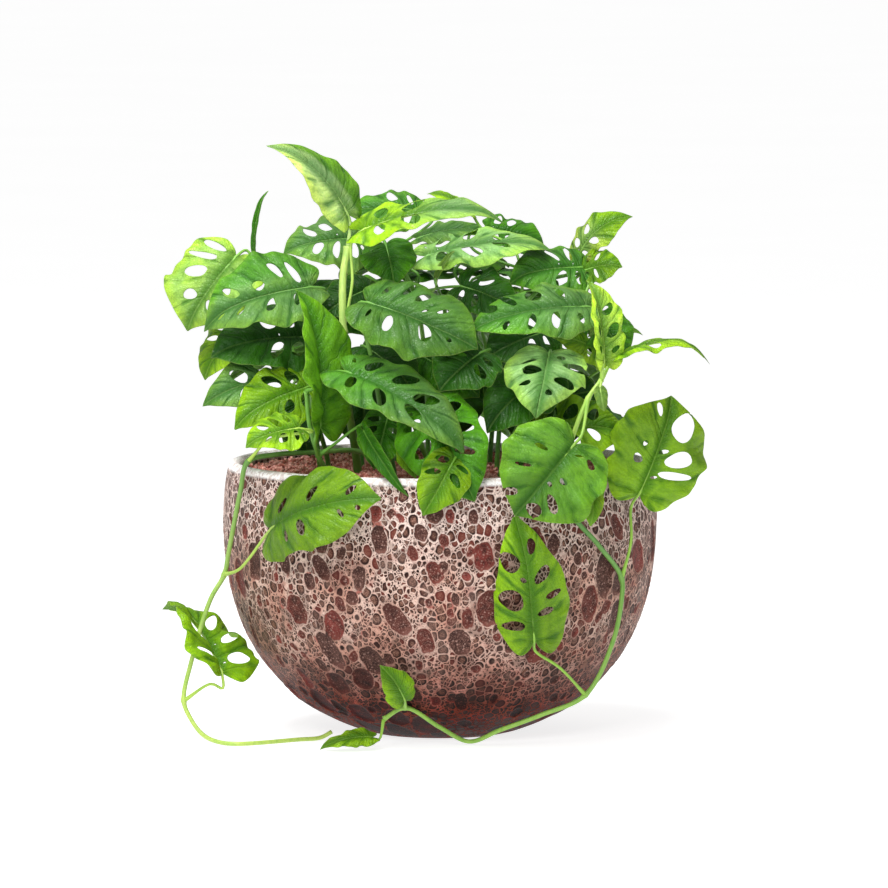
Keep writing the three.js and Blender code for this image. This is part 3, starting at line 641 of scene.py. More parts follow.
def blade_sheet(entry, length, half, outline, rng):
    """A blade laid flat, with its holes: points along and across it, and faces."""
    step = max(BLADE_STEP, length / BLADE_ROWS)
    xs = np.arange(-0.2 * length, length * 1.02 + step, step)
    ys = np.arange(-half * 1.15, half * 1.15 + step, step)
    grid = np.stack(np.meshgrid(xs, ys, indexing="ij"), axis=-1).reshape(-1, 2)
    field = depth_inside(grid, outline)
    for hole in hole_outlines(entry, length, half, rng):
        field = np.minimum(field, -depth_inside(grid, hole))
    return cut_sheet(xs, ys, field.reshape(len(xs), len(ys)))


def blade_relief(spots, u, v, number, to_margin, phase):
    """What a leaf of the usual width has of quilting, waves at its margin and dimples."""
    across = np.abs(v)
    swell = np.sin(math.pi * number) ** 2 * ramp(across, 0, 0.3) * ramp(to_margin, 0, 4)
    swell *= 1 + 0.6 * np.sin(2.3 * number + 5 * v + phase[4])
    relief = QUILT_HEIGHT * swell - GROOVE_DEPTH * np.exp(-((spots[:, 1] / 2.2) ** 2))
    for pace, lag, share, k in WAVES:
        wave = np.sin(CIRCLE * (pace * u + lag * np.sign(v)) + phase[k])
        relief += WAVE_HEIGHT * share * wave * across**2.5
    dimple = np.sin(spots[:, 0] / 6.5 + phase[4]) * np.sin(spots[:, 1] / 5 + phase[5])
    return relief + DIMPLE_HEIGHT * dimple * across


def blade_tints(entry, tint, u, v, phase):
    """A blade's tint at each point, with that of its other part if it has one: another tone towards the
    tip, or painted shade on the right half.
    """
    shade = 1 + 0.12 * np.sin(3 * u + phase[0]) + 0.10 * np.sin(4 * v + phase[7])
    tints = np.outer(shade, tint)
    if entry["second"]:
        tone, part = entry["second"]
        # A right half takes its second tone as painted shade, darker as if turned away from the light.
        share = {"tip": ramp(u, 0.3, 0.3), "right": ramp(-v, 0.25, 0.15)}[part][:, None]
        tints = tints * (1 - share) + np.outer(shade, rgb(TONES[tone])) * share
    return tints


def add_sheet(skin, middle, thick, up, faces, tints, uv, data):
    """Both faces of a blade, and the walls along its edges and its holes."""
    starts = []
    for sign, under in ((1, 0.0), (-1, 1.0)):
        data[:, 2] = under
        starts.append(skin.add_points(middle + sign * np.outer(thick, up), tints, uv, data.copy()))
    over, under = starts
    skin.add_faces([tuple(over + c for c in face) for face in faces])
    skin.add_faces([tuple(under + c for c in reversed(face)) for face in faces])
    edges = set()
    for face in faces:
        edges.update(zip(face, face[1:] + face[:1]))
    walls = [(over + b, over + a, under + a, under + b) for a, b in edges if (b, a) not in edges]
    skin.add_faces(walls, flat=True)


def add_blade(skin, entry, tint, rng):
    """One leaf's blade, with its direction, its upward side and the line under its midrib."""
    base, tip = np.array(entry["base"], float), np.array(entry["tip"], float)
    along = tip - base
    length = np.linalg.norm(along)
    along = along / length
    up = np.array(entry["face"], float)
    up = unit(up - up.dot(along) * along)
    side = np.cross(up, along)
    half = entry["width"] / 2
    fold = math.radians(entry["fold"])
    size = entry["width"] / USUAL_WIDTH

    phase = rng.uniform(0, CIRCLE, 8)
    droop = rng.uniform(-0.10, 0.20, 2)
    bend = rng.normal(0, 0.04)
    curl = rng.uniform(0.03, 0.12)
    turning = math.radians(entry["twist"] + rng.uniform(-14, 14))
    outline = blade_outline(entry, length, half, phase)
    spots, faces = blade_sheet(entry, length, half, outline, rng)

    def line(share):
        """How far the midrib lies to the side and up, at a share of its length."""
        bow = entry["arch"] * length * 4 * share * (1 - share)
        sideways = bend * length * ramp(share, 0.45, 0.55) ** 2
        return sideways, bow - curl * length * ramp(share, 0.7, 0.3) ** 2

    u, v = spots[:, 0] / length, spots[:, 1] / half
    number, room = vein_number(u, v)
    to_margin = depth_inside(spots, outline)
    out = v * half * math.cos(fold)
    soft = np.sqrt(v * v + 0.004) - 0.063
    raised = soft * half * math.sin(fold) - (entry["cup"] + np.where(v > 0, *droop)) * half * v * v
    turn = turning * (u - 0.5)
    out, raised = out * np.cos(turn) - raised * np.sin(turn), out * np.sin(turn) + raised * np.cos(turn)
    sideways, bow = line(u)
    relief = size * blade_relief(spots, u, v, number, to_margin, phase)
    middle = base + np.outer(u * length, along) + np.outer(out + sideways, side)
    middle += np.outer(raised + bow + relief, up)

    thick = BLADE_THICKNESS / 2 * (0.5 + 0.5 * ramp(to_margin, 0, 3))
    uv = np.stack([number, np.abs(v)], axis=1)
    off_midrib, margin = np.abs(spots[:, 1]) / MIDRIB_SCALE, ramp(to_margin, 0, MARGIN_SCALE)
    data = np.stack([room * length / ROOM_SCALE, off_midrib, np.zeros(len(u)), margin], axis=1)
    add_sheet(skin, middle, thick, up, faces, blade_tints(entry, tint, u, v, phase), uv, data)

    def rib(share):
        """The underside of the midrib, where the sheet lies at v = 0."""
        sideways, bow = line(share)
        way = base + np.outer(share * length, along) + np.outer(sideways, side)
        return way + np.outer(bow - GROOVE_DEPTH * size - RIB_DEPTH, up)

    return along, up, rib


def add_leaf(skin, entry, start, tint, stem_tint, rng):
    """A blade, and the petiole that runs on under it as its midrib."""
    along, up, rib = add_blade(skin, entry, tint, rng)
    base, start = np.array(entry["base"], float), np.array(start, float)
    distance = np.linalg.norm(base - start)
    route = [start, *entry["via"]]
    if distance >= SHORT_PETIOLE:
        lead = min(LONGEST_LEAD, distance * LEAD_SHARE)
        route.append(base - along * lead * LEAD_BACK - up * lead * LEAD_DOWN)
    route.append(base - up * PETIOLE_DROP)
    centres, _ = smooth_path(route, PETIOLE_STEP)
    radius = entry["petiole"]
    radii = radius * (0.95 + FLARE * np.exp(-((run(centres) / FLARE_REACH) ** 2)))
    shares = np.linspace(0, RIB_END, RIB_POINTS)[1:]
    rib_radii = min(radius, RIB_RADIUS) * (1 - 0.75 * shares)
    centres, radii = np.vstack([centres, rib(shares)]), np.concatenate([radii, rib_radii])
    skin.tube(centres, radii, PETIOLE_SIDES, stem_tint)


def add_stem(skin, path, leaves, thickness, tints):
    foot = [(path[0][0], path[0][1], STEM_FOOT)]
    centres, marks = smooth_path(foot + path, STEM_STEP)
    travelled = run(centres)
    radii = thickness * (1.08 - STEM_TAPER * travelled / travelled[-1])
    for on in sorted({entry["on"] for entry in leaves}):
        radii += NODE_SWELL * thickness * np.exp(-(((travelled - marks[on]) / NODE_REACH) ** 2))
    share = ramp(travelled / travelled[-1], 0.3, 0.4)[:, None]
    skin.tube(centres, radii, STEM_SIDES, tints[0] * (1 - share) + tints[1] * share)


def leafy_stem(name, stem, materials, seed):
    rng = np.random.default_rng(seed)
    skin = Skin()
    tints = [np.array(rgb(code)) for code in STEM_TONES.get(name, OTHER_STEM)]
    add_stem(skin, stem["path"], stem["leaves"], THICK_STEMS.get(name, STEM_RADIUS), tints)
    for entry in stem["leaves"]:
        tone = np.array(rgb(TONES[entry["tone"]])) * rng.uniform(0.92, 1.08)
        start = stem["path"][entry["on"] - 1]
        add_leaf(skin, entry, start, tone, 0.7 * tints[1] + 0.3 * tone, rng)
    piece = skin.piece(name + "_leaves", materials)
    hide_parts(name)


# --- materials


class Shader:
    """A material's nodes, added one by one. Colours are sockets, linear triples or six-digit codes."""

    def __init__(self, name):
        self.material = bpy.data.materials.new(name)
        self.material.use_nodes = True
        self.tree = self.material.node_tree
        self.tree.nodes.clear()
        self.coords = self.node("TexCoord").outputs["Object"]
        self.place = self.scaled(self.coords, (1000.0, 1000.0, 1000.0))  # in millimetres

    def node(self, kind, inputs=None, **settings):
        node = self.tree.nodes.new("ShaderNode" + kind)
        for key, value in settings.items():
            setattr(node, key, value)
        for key, value in (inputs or {}).items():
            if isinstance(value, bpy.types.NodeSocket):
                self.tree.links.new(value, node.inputs[key])
            elif node.inputs[key].type == "RGBA":
                node.inputs[key].default_value = (*(rgb(value) if isinstance(value, str) else value), 1)
            else:
                node.inputs[key].default_value = value
        return node

    def calculate(self, operation, a, b):
        return self.node("Math", {0: a, 1: b}, operation=operation).outputs[0]

    times = partialmethod(calculate, "MULTIPLY")
    plus = partialmethod(calculate, "ADD")
    minus = partialmethod(calculate, "SUBTRACT")
    larger = partialmethod(calculate, "MAXIMUM")
    to_and_fro = partialmethod(calculate, "PINGPONG")

    def vector(self, operation, inputs):
        return self.node("VectorMath", inputs, operation=operation).outputs[0]

    def mix(self, share, a, b, blend="MIX"):
        return self.node("Mix", {0: share, 6: a, 7: b}, data_type="RGBA", blend_type=blend).outputs[2]

    def tinted(self, colour, tint):
        return self.mix(1.0, colour, tint, "MULTIPLY")

    def step(self, value, low, high, to_low=0.0, to_high=1.0):
        inputs = {"Value": value, "From Min": low, "From Max": high, "To Min": to_low, "To Max": to_high}
        return self.node("MapRange", inputs, interpolation_type="SMOOTHSTEP").outputs[0]

    def stained(self, colour, *stains):
        """A colour under others, each from none of it up to its most as a value goes from low to high."""
        for over, value, low, high, *most in stains:
            colour = self.mix(self.step(value, low, high, 0.0, *most), colour, over)
        return colour

    def scaled(self, vector, scale):
        return self.node("Mapping", {"Vector": vector, "Scale": scale}).outputs[0]

    def noise(self, size, detail=2.0, output=0, place=None):
        inputs = {"Vector": place or self.place, "Scale": 1.0 / size, "Detail": detail}
        return self.node("TexNoise", inputs).outputs[output]

    def cells(self, size, feature="F1", output="Distance", place=None):
        inputs = {"Vector": place or self.place, "Scale": 1.0 / size}
        return self.node("TexVoronoi", inputs, feature=feature).outputs[output]

    def attribute(self, name):
        return self.node("Attribute", attribute_name=name).outputs

    def parts(self, colour):
        """A colour's red, green and blue, as numbers."""
        return self.node("SeparateColor", {"Color": colour}).outputs

    def bump(self, height, strength, distance):
        return self.node("Bump", {"Height": height, "Strength": strength, "Distance": distance}).outputs[0]

    def body(self, colour, roughness, specular=0.5, **more):
        inputs = {"Base Color": colour, "Roughness": roughness, "Specular IOR Level": specular}
        return self.node("BsdfPrincipled", {**inputs, **more}).outputs[0]

    def finish(self, surface):
        self.node("OutputMaterial", {"Surface": surface})
        return self.material


def leaf_material():
    """A blade that is darker along its veins and lighter at its margin, and lets some light through."""
    s = Shader("leaf_blade")
    tint = s.attribute("tint")["Color"]
    blade = s.attribute("blade")
    parts = s.parts(blade["Color"])
    room = s.times(parts[0], ROOM_SCALE)
    off_midrib = s.times(parts[1], MIDRIB_SCALE)
    under = parts[2]
    off_margin = s.times(blade["Alpha"], MARGIN_SCALE)
    uv = s.node("SeparateXYZ", {"Vector": s.node("UVMap", uv_map="veins").outputs[0]})
    drift = s.times(s.minus(s.noise(9.0), 0.5), 0.26)
    number = s.plus(uv.outputs[0], drift)
    off_vein = s.times(s.to_and_fro(number, 0.5), room)
    thin = s.step(s.to_and_fro(s.times(number, 4.0), 0.5), 0.0, 0.4, 1.0, 0.0)

    mottle = s.noise(7.0, 3.0)
    uneven = s.step(s.noise(13.0), 0.35, 0.62)
    vein = s.step(off_vein, 0.1, 0.7, 1.0, 0.0)
    midrib = s.step(off_midrib, 0.35, 1.1, 1.0, 0.0)
    beside = s.times(s.step(off_vein, 0.2, 4.6, 0.95, 0.0), uneven)
    shade = s.larger(beside, s.step(off_midrib, 1.0, 9.0, 0.9, 0.0))
    fine = s.step(s.cells(1.8, "DISTANCE_TO_EDGE"), 0.02, 0.14, 1.0, 0.0)

    deep = s.mix(0.3, s.tinted(tint, (0.32, 0.53, 0.30)), "1e560a")
    bright = s.tinted(tint, (1.42, 1.28, 0.50))
    colour = s.mix(s.step(off_margin, 0.5, 8.5, 0.75, 0.0), tint, bright)
    colour = s.stained(colour, (bright, s.noise(22.0), 0.5, 0.66, 0.4))
    colour = s.mix(s.times(shade, 0.95), colour, deep)
    colour = s.stained(colour, (deep, mottle, 0.45, 0.72, 0.36))
    colour = s.mix(s.times(s.times(thin, uneven), 0.26), colour, deep)
    colour = s.mix(s.times(fine, 0.14), colour, deep)
    raised = s.larger(s.times(vein, 0.12), s.times(midrib, 0.28))
    colour = s.mix(raised, colour, s.mix(0.5, tint, "a8cc70"))
    colour = s.mix(s.step(off_margin, 0.0, 0.6, 0.25, 0.0), colour, "b9d76a")
    colour = s.mix(s.times(under, 0.8), colour, s.mix(0.40, colour, "8ab650"))

    grooves = s.larger(s.times(vein, 0.6), midrib)
    for line, depth in ((thin, 0.35), (fine, 0.35), (mottle, 1.6)):
        grooves = s.plus(grooves, s.times(line, depth))
    sign = s.minus(s.times(under, 2.0), 1.0)
    normal = s.bump(s.times(grooves, sign), 0.8, 0.0009)
    rough = s.plus(s.times(under, 0.12), s.step(mottle, 0.3, 0.7, 0.30, 0.44))
    body = s.body(colour, rough, 0.28, Normal=normal)
    through = s.tinted(colour, (1.5, 1.25, 0.25))
    glow = s.node("BsdfTranslucent", {"Color": through, "Normal": normal}).outputs[0]
    return s.finish(s.node("MixShader", {0: 0.28, 1: body, 2: glow}).outputs[0])


def stem_material():
    s = Shader("stem_skin")
    tint = s.attribute("tint")["Color"]
    streaks = s.noise(1.6, 3.0, place=s.scaled(s.coords, (1000.0, 1000.0, 220.0)))
    darker = s.tinted(tint, (0.5, 0.72, 0.6))
    colour = s.stained(tint, (darker, streaks, 0.4, 0.7, 0.45), (darker, s.noise(14.0), 0.45, 0.7, 0.3))
    return s.finish(s.body(colour, 0.42, 0.4, Normal=s.bump(streaks, 0.35, 0.0004)))


def soil_material():
    s = Shader("potting_soil")
    crumbs = s.noise(2.5, 5.0)
    colour = s.stained("1d130c", ("4a3424", crumbs, 0.35, 0.65))
    return s.finish(s.body(colour, 0.95, Normal=s.bump(crumbs, 0.8, 0.002)))


def clay_material(name, light, dark):
    s = Shader(name)
    grain = s.noise(0.6, 3.0)
    colour = s.stained(light, (dark, s.noise(3.2, 1.0), 0.42, 0.56), ("7c3a30", grain, 0.45, 0.75, 0.5))
    return s.finish(s.body(colour, 0.9, Normal=s.bump(grain, 0.7, 0.0004)))


FOAM = [  # size, rim, portion of the cells that are bubbles, how far the middle is lighter
    (1.7, 0.11, 1.0, 0.0), (2.6, 0.16, 0.85, 0.45), (3.8, 0.20, 0.66, 0.9), (6.2, 0.26, 0.42, 1.0),
]


def foam(s, place, size, rim, portion):
    """One size of bubbles: their inside, where they and their rims are, a number for each, its middle."""
    edge = s.times(s.cells(size, "DISTANCE_TO_EDGE", place=place), size)
    far = s.cells(size, place=place)
    draw = s.parts(s.cells(size, output="Color", place=place))
    inside = s.times(s.step(edge, rim, rim + 0.2), s.step(far, 0.60, 0.53))
    chosen = s.times(s.step(draw[0], portion + 0.01, portion), s.step(far, 0.76, 0.70))
    return inside, chosen, draw[1], s.step(far, 0.48, 0.26)


def bubble_net(s, height, speckle):
    """A pale net, the same with bubbles of all sizes in it, and how high each spot of that is."""
    net = s.stained(
        "e2c4b5",
        ("cc9d8a", s.noise(26.0), 0.4, 0.62),
        ("a55c50", s.noise(12.0, 3.0), 0.58, 0.68, 0.5),
        ("f2dfd6", height, 105.0, 165.0, 0.75),
        ("b28778", height, 125.0, 45.0, 0.38),
        ("8f6a60", speckle, 0.38, 0.68, 0.55),
    )
    offset = s.vector("SUBTRACT", {0: s.noise(6.0, output=1), 1: (0.5, 0.5, 0.5)})
    bent = s.vector("ADD", {0: s.place, 1: s.vector("SCALE", {0: offset, "Scale": 1.4})})
    bent = s.scaled(bent, (1.0, 1.0, 0.78))
    dark = s.stained("26140f", ("40241f", s.noise(9.0), 0.42, 0.6))
    middle = s.stained("4e3129", ("926a5a", speckle, 0.36, 0.64))
    surface = net
    relief = s.plus(s.times(speckle, 0.15), 1.0)
    for size, rim, portion, share in FOAM:
        inside, chosen, draw, centre = foam(s, bent, size, rim, portion)
        fill = s.mix(s.times(centre, share), dark, middle)
        fill = s.stained(fill, ("6e2f27", draw, 0.82, 0.86, 0.6), ("6b554e", draw, 0.30, 0.26, 0.35))
        surface = s.mix(chosen, surface, s.mix(inside, net, fill))
        hollow = s.times(s.minus(1.0, inside), chosen)
        relief = s.plus(s.times(relief, s.minus(1.0, chosen)), hollow)
    grit = s.stained("4e3b36", ("8f7467", speckle, 0.42, 0.62))
    return net, s.stained(surface, (grit, s.noise(14.0), 0.55, 0.64, 0.45)), relief


def blotch_colour(s, edge, kind, rise, speckle):
    """The inside of a large blotch, a hollow: painted shade darkens its upper part and painted light
    lightens its lower.
    """
    brown = s.stained(
        "4f342d",
        ("5c2c25", kind, 0.3, 0.6),
        ("7c3630", kind, 0.80, 0.86),
        ("301a16", s.noise(4.5, 4.0), 0.44, 0.62, 0.7),
        ("a0766a", speckle, 0.50, 0.66, 0.55),
        ("c79f92", s.cells(2.6), 0.30, 0.16, 0.45),
        # Painted shade at the top of the hollow and painted light at its bottom, as under light from
        # above.
        ("2a1613", rise, 0.55, 1.0, 0.5),
        ("96655a", rise, 0.22, 0.0, 0.45),
    )
    ember = s.times(s.step(edge, -1.8, -0.2), s.step(kind, 0.35, 0.7))
    return s.mix(s.times(ember, 0.35), brown, "8a4238")


def glaze_material():
    """A cratered glaze: a pale net round packed bubbles of all sizes, and large sunken blotches, with
    painted shade low on the bowl and painted shade and light in the blotches.
    """
    s = Shader("crater_glaze")
    height = s.node("SeparateXYZ", {"Vector": s.place}).outputs[2]
    speckle = s.noise(0.8, 3.0)
    zone = s.noise(15.0, 3.0)
    edge, kind, rise = s.parts(s.attribute("tint")["Color"])
    edge = s.times(s.minus(edge, 0.5), EDGE_SCALE)
    edge = s.plus(edge, s.times(s.minus(s.noise(6.0, 3.0), 0.5), 3.6))
    inside = s.step(edge, 0.25, -0.15)
    outside = s.minus(1.0, inside)

    net, surface, relief = bubble_net(s, height, speckle)
    band = s.times(s.step(edge, 1.1, 0.5), outside)
    rim_colour = s.stained(net, ("b0695e", s.noise(9.0), 0.60, 0.68))
    surface = s.mix(s.times(band, 0.85), surface, rim_colour)
    surface = s.mix(inside, surface, blotch_colour(s, edge, kind, rise, speckle))

    patchy = s.step(s.noise(19.0, 3.0), 0.50, 0.66)
    patchy = s.times(patchy, s.step(height, 120.0, 165.0, 0.46, 0.10))
    surface = s.mix(patchy, surface, s.tinted(surface, "8f7068"))
    # Painted shade: from about 96 mm down towards the foot, the glaze is darkened and reddened.
    low_shade_base = s.node("Gamma", {"Color": surface, "Gamma": 1.5}).outputs[0]
    sunk = s.tinted(low_shade_base, s.stained("a4685a", ("c4665a", zone, 0.48, 0.62)))
    surface = s.stained(surface, (sunk, s.plus(height, s.times(zone, 28.0)), 96.0, 32.0))
    bare = s.step(height, 176.0, 178.5)
    lip = s.stained("f8f4f2", ("dccfca", s.noise(3.0, 3.0), 0.42, 0.6))
    lip = s.stained(lip, ("75605a", s.noise(1.2), 0.62, 0.7, 0.6))
    surface = s.mix(bare, surface, lip)

    relief = s.plus(s.times(relief, outside), s.times(s.times(speckle, inside), 0.5))
    relief = s.larger(relief, bare)
    rough = s.step(relief, 0.1, 0.9, 0.5, 0.75)
    return s.finish(s.body(surface, rough, 0.12, Normal=s.bump(relief, 0.9, 0.0009)))


def floor_material():
    s = Shader("studio_floor")
    colour = s.mix(s.noise(300.0), "b4b4b4", "bcbcbc")
    glow = {"Emission Color": "ffffff", "Emission Strength": FLOOR_GLOW}
    return s.finish(s.body(colour, 1.0, 0.0, **glow))


# --- the bowl

SIDES = 430
ROWS = 200
TURNS = np.arange(SIDES) * CIRCLE / SIDES
BOWL_SEED = 41
BUBBLES_TOP = 168
LARGE_BUBBLES_TOP = 140
BUBBLES = [  # tries, smallest and largest half width, how long at most, room between
    (230, 5.0, 8.8, 2.2, 0.5), (330, 3.2, 5.2, 2.1, 0.5), (900, 1.9, 3.2, 1.7, 0.3),
]
BUBBLE_DEPTH = 1.0
BUBBLE_RIM = 0.35


def around(radius, height):
    """Rings of points about the bowl's axis."""
    level = np.outer(height, np.ones(SIDES))
    return np.stack([np.outer(radius, np.cos(TURNS)), np.outer(radius, np.sin(TURNS)), level], axis=-1)


def wall_profile():
    """The outside of the bowl, evenly from foot to rim: radius, height, and the way along it."""
    fine = spline_2d(BOWL_OUTSIDE, 40)
    lengths = run(fine)
    even = np.linspace(0, lengths[-1], ROWS)
    radius = np.interp(even, lengths, fine[:, 0])
    height = np.interp(even, lengths, fine[:, 1])
    direction = np.stack([np.gradient(radius, even), np.gradient(height, even)], axis=1)
    direction /= np.linalg.norm(direction, axis=1, keepdims=True)
    return radius, height, direction, lengths[-1]


def wall_ways(direction, turn):
    """The ways to the right and up along the wall, at a turn about the bowl."""
    out, up = direction
    right = np.array([-math.sin(turn), math.cos(turn), 0])
    return right, np.array([out * math.cos(turn), out * math.sin(turn), up])


def oval_reach(size, tilt, bearing):
    """How far a tilted oval reaches from its middle in the way of a bearing."""
    a = bearing - tilt
    return size[..., 0] * size[..., 1] / np.hypot(size[..., 1] * np.cos(a), size[..., 0] * np.sin(a))


def throw_bubbles(radius, height, direction, rng):
    """Ovals on the wall, none over another, the large ones first: middle, size, tilt, row and turn."""
    weight = np.cumsum(radius)
    weight /= weight[-1]
    bubbles = []

    def crowded(spot, size, tilt, row, turn, slack):
        if not bubbles:
            return False
        spots, sizes, tilts = (np.array([bubble[k] for bubble in bubbles]) for k in range(3))
        to = spots - spot
        right, rise = wall_ways(direction[row], turn)
        bearing = np.arctan2(to @ rise, to @ right)
        need = oval_reach(sizes, tilts, bearing)
        need += oval_reach(size, tilt, bearing) + slack
        return (np.linalg.norm(to, axis=1) < need).any()

    for tries, low, high, stretch, slack in BUBBLES:
        top = LARGE_BUBBLES_TOP if low > 4 else BUBBLES_TOP
        for _ in range(tries):
            row = min(int(np.searchsorted(weight, rng.uniform())), ROWS - 1)
            turn = rng.uniform(0, CIRCLE)
            across = rng.uniform(low, high)
            size = np.array([across, across * rng.uniform(1.15, stretch)])
            level = height[row]
            if level > BUBBLES_TOP - size[1] or (level > top and rng.uniform() < 0.6):
                continue
            tilt = rng.normal(0.2, 0.28)
            crowd = 0.5 + 0.5 * math.sin(3 * turn + 2 * math.sin(level / 22))
            if rng.uniform() > 0.25 + 0.75 * crowd:
                continue
            spot = np.array([radius[row] * math.cos(turn), radius[row] * math.sin(turn), level])
            if not crowded(spot, size, tilt, row, turn, slack):
                bubbles.append((spot, size, tilt, row, turn))
    return bubbles


def mark_wall(grid, profile, rng):
    """At each point of the wall: how far it is outside a bubble, that bubble's kind and size, and the
    height in it."""
    radius, height, direction, total = profile
    marks = np.zeros((ROWS, SIDES, 4)) + (9.9, 0.0, 0.0, 0.5)
    row_step = total / (ROWS - 1)
    for spot, size, tilt, row, turn in throw_bubbles(radius, height, direction, rng):
        margin = size.max() + 5
        reach = int(margin / row_step)
        near = np.arange(max(0, row - reach), min(ROWS, row + reach + 1))
        column = int(turn / CIRCLE * SIDES)
        width = int(margin / (CIRCLE * radius[row] / SIDES)) + 1
        window = np.ix_(near, np.arange(column - width, column + width + 2) % SIDES)
        to = grid[window] - spot
        right, rise = wall_ways(direction[row], turn)
        x, y = to @ right, to @ rise
        a = x * math.cos(tilt) + y * math.sin(tilt)
        b = y * math.cos(tilt) - x * math.sin(tilt)
        square = rng.uniform(1.6, 3.0)
        far = ((abs(a / size[0]) ** square + abs(b / size[1]) ** square) ** (1 / square) - 1) * size.min()
        level = np.clip(0.5 + 0.5 * b / size[1], 0, 1)
        new = np.stack(np.broadcast_arrays(far, rng.uniform(), size[0] / 10, level), axis=-1)
        marks[window] = np.where((far < marks[window][..., 0])[..., None], new, marks[window])
    return np.moveaxis(marks, -1, 0)


def make_bowl(material):
    profile = radius, height, direction, _ = wall_profile()
    grid = around(radius, height)
    edge, kind, large, level = mark_wall(grid, profile, np.random.default_rng(BOWL_SEED))
    fade = ramp(height, 4, 12) * ramp(RIM_LEVEL - height, 0, 5)
    sunk = ramp(0.6 - edge, 0, 2.4) ** 0.8 * (0.5 + BUBBLE_DEPTH * large)
    rimmed = np.exp(-(((edge - 0.8) / 0.9) ** 2)) * BUBBLE_RIM
    push = (rimmed - sunk) * fade[:, None]
    grid = grid + around(direction[:, 1], -direction[:, 0]) * push[..., None]

    lip = WALL / 2
    over = [
        (LIP_RADIUS - lip + lip * math.cos(a), RIM_LEVEL + (BOWL_HEIGHT - RIM_LEVEL) * math.sin(a))
        for a in np.linspace(0, math.pi, 12)[1:-1]
    ]
    inner = [(r - WALL * d[1], h + WALL * d[0]) for r, h, d in zip(radius, height, direction) if h > WALL]
    inner = [(LIP_RADIUS - WALL, RIM_LEVEL)] + inner[-3::-14] + [(0.5, inner[0][1])]
    rings = np.concatenate([around(*np.transpose(BOWL_FOOT)), grid, around(*np.transpose(over + inner))])
    tints = np.zeros(rings.shape) + (1.0, 0, 0)
    marks = [np.clip(edge / EDGE_SCALE + 0.5, 0, 1), kind, level]
    tints[len(BOWL_FOOT):len(BOWL_FOOT) + ROWS] = np.stack(marks, axis=-1)
    skin = Skin()
    at = skin.add_points(rings.reshape(-1, 3), tints.reshape(-1, 3))
    skin.add_faces(tube_faces(at, len(rings), SIDES))
    piece = skin.piece("bowl_shell", [material])
    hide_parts("bowl")


# --- the granules

GRAIN_SEED = 7
GRAIN_SIZE = 4.0
GRAIN_PITCH = 3.6
GRAIN_GAP = 0.3
GRAIN_LAYERS = [(0.4, 1.0), (2.2, 0.3)]  # how high, and the share of the places that have a grain


def icosahedron():
    """The corners and faces of a solid with twenty sides."""
    golden = (1 + 5**0.5) / 2
    corners = np.array([(0, s, t * golden) for s in (-1, 1) for t in (-1, 1)], float)
    corners = np.vstack([corners, np.roll(corners, 1, axis=1), np.roll(corners, 2, axis=1)])
    corners /= np.linalg.norm(corners[0])
    faces = []
    for i, j, k in combinations(range(12), 3):
        trio = corners[[i, j, k]]
        if max(np.linalg.norm(a - b) for a, b in combinations(trio, 2)) < 1.1:
            out = np.cross(trio[1] - trio[0], trio[2] - trio[0]).dot(trio.sum(axis=0)) > 0
            faces.append((i, j, k) if out else (i, k, j))
    return corners, faces


def make_granules(material, stems):
    """Loose angular grains that cover the top of their layer."""
    rng = np.random.default_rng(GRAIN_SEED)
    corners, faces = icosahedron()
    feet = np.array([stem["path"][0][:2] for stem in stems.values()], float)
    skin = Skin()
    places = np.arange(-GRANULE_RADIUS, GRANULE_RADIUS, GRAIN_PITCH)
    for (lift, share), x, y in product(GRAIN_LAYERS, places, places):
        spot = np.array([x, y]) + rng.uniform(-0.45, 0.45, 2) * GRAIN_PITCH
        size = GRAIN_SIZE / 2 * rng.uniform(0.65, 1.1)
        if rng.uniform() > share or np.hypot(*spot) > GRANULE_RADIUS - size - 2 * GRAIN_GAP:
            continue
        if np.hypot(*(feet - spot).T).min() < STEM_RADIUS + size + GRAIN_GAP:
            continue
        shape = corners * rng.uniform(0.8, 1.15, (12, 1)) * rng.uniform(0.65, 1.25, 3)
        spin = np.linalg.qr(rng.normal(size=(3, 3)))[0]
        if np.linalg.det(spin) < 0:
            spin[:, 0] *= -1
        z = GRANULE_TOP + lift + rng.uniform(-0.5, 0.5)
        at = skin.add_points(shape @ spin.T * size + (*spot, z), (1, 1, 1))
        skin.add_faces([tuple(at + c for c in face) for face in faces], flat=True)
    skin.piece("loose_granules", [material])


# --- the studio

VIEW_HEIGHT = 192  # of the middle of the picture, square to the view
VIEW_ACROSS = 2.7
VIEW_WIDTH = 594
ELEVATION = 5
CAMERA_DISTANCE = 6.0
SENSOR = 36
FLOOR = 30
FLOOR_GLOW = 0.80
WORLD_LIGHT = 0.38
LIGHTS = [  # name, place and size in metres, power in watts
    ("overhead", (-0.4, -0.4, 1.7), 1.0, 35), ("front", (-0.6, -2.4, 1.4), 0.9, 28),
]
LIT_POINT = Vector((0, 0, 0.2))


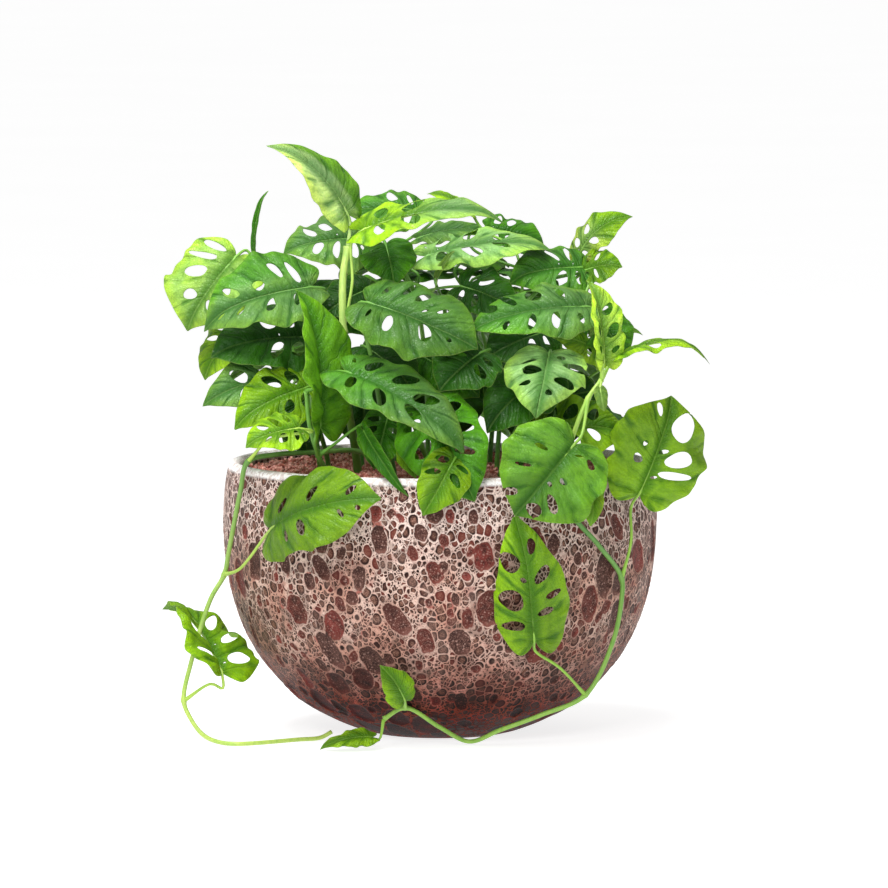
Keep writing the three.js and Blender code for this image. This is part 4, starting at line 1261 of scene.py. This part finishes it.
def make_camera():
    data = bpy.data.cameras.new("camera")
    data.sensor_width = SENSOR
    data.lens = SENSOR * CAMERA_DISTANCE / (VIEW_WIDTH * MM)
    data.clip_end = 100
    camera = put("camera", data)
    tilt = math.radians(ELEVATION)
    target = Vector((VIEW_ACROSS * MM, 0, VIEW_HEIGHT * MM / math.cos(tilt)))
    camera.location = target + Vector((0, -math.cos(tilt), math.sin(tilt))) * CAMERA_DISTANCE
    camera.rotation_euler = (math.pi / 2 - tilt, 0, 0)
    bpy.context.scene.camera = camera


def area_light(name, place, size, power):
    data = bpy.data.lights.new(name, "AREA")
    data.shape = "DISK"
    data.size = size
    data.energy = power
    light = put(name, data)
    light.location = place
    light.rotation_euler = (LIT_POINT - Vector(place)).to_track_quat("-Z", "Y").to_euler()


def make_studio():
    mesh = bpy.data.meshes.new("studio_floor")
    corners = [(-FLOOR, -FLOOR, 0), (FLOOR, -FLOOR, 0), (FLOOR, FLOOR, 0), (-FLOOR, FLOOR, 0)]
    mesh.from_pydata(corners, [], [(0, 1, 2, 3)])
    mesh.materials.append(floor_material())
    put("studio_floor", mesh)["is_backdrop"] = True
    world = bpy.data.worlds.new("studio")
    world.use_nodes = True
    background = world.node_tree.nodes["Background"].inputs
    background["Color"].default_value = (1, 1, 1, 1)
    background["Strength"].default_value = WORLD_LIGHT
    bpy.context.scene.world = world
    for light in LIGHTS:
        area_light(*light)
    bpy.context.scene.view_settings.view_transform = "Standard"


# --- everything together

make_camera()
make_studio()
stems = {**STEMS, **{name: spray(lean, i) for i, (name, lean) in enumerate(SPRAYS.items())}}
foliage = [leaf_material(), stem_material()]
for seed, (name, stem) in enumerate(stems.items()):
    leafy_stem(name, stem, foliage, seed + 1)
make_bowl(glaze_material())
make_granules(clay_material("clay_grain", "f0b3a4", "c27464"), stems)
# The bed under the loose grains is painted dark: painted shade for the gaps between the grains.
for name, material in (
    ("soil", soil_material()),
    ("clay_granules", clay_material("clay_bed_painted_shade", "4a201a", "2c120e")),
):
    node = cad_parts[name]
    node.data.materials.clear()
    node.data.materials.append(material)

bpy.context.view_layer.update()
boxes = {"cad": CAD_BOX, "visual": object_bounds()}
{key: [list(corner) for corner in box] for key, box in boxes.items()}
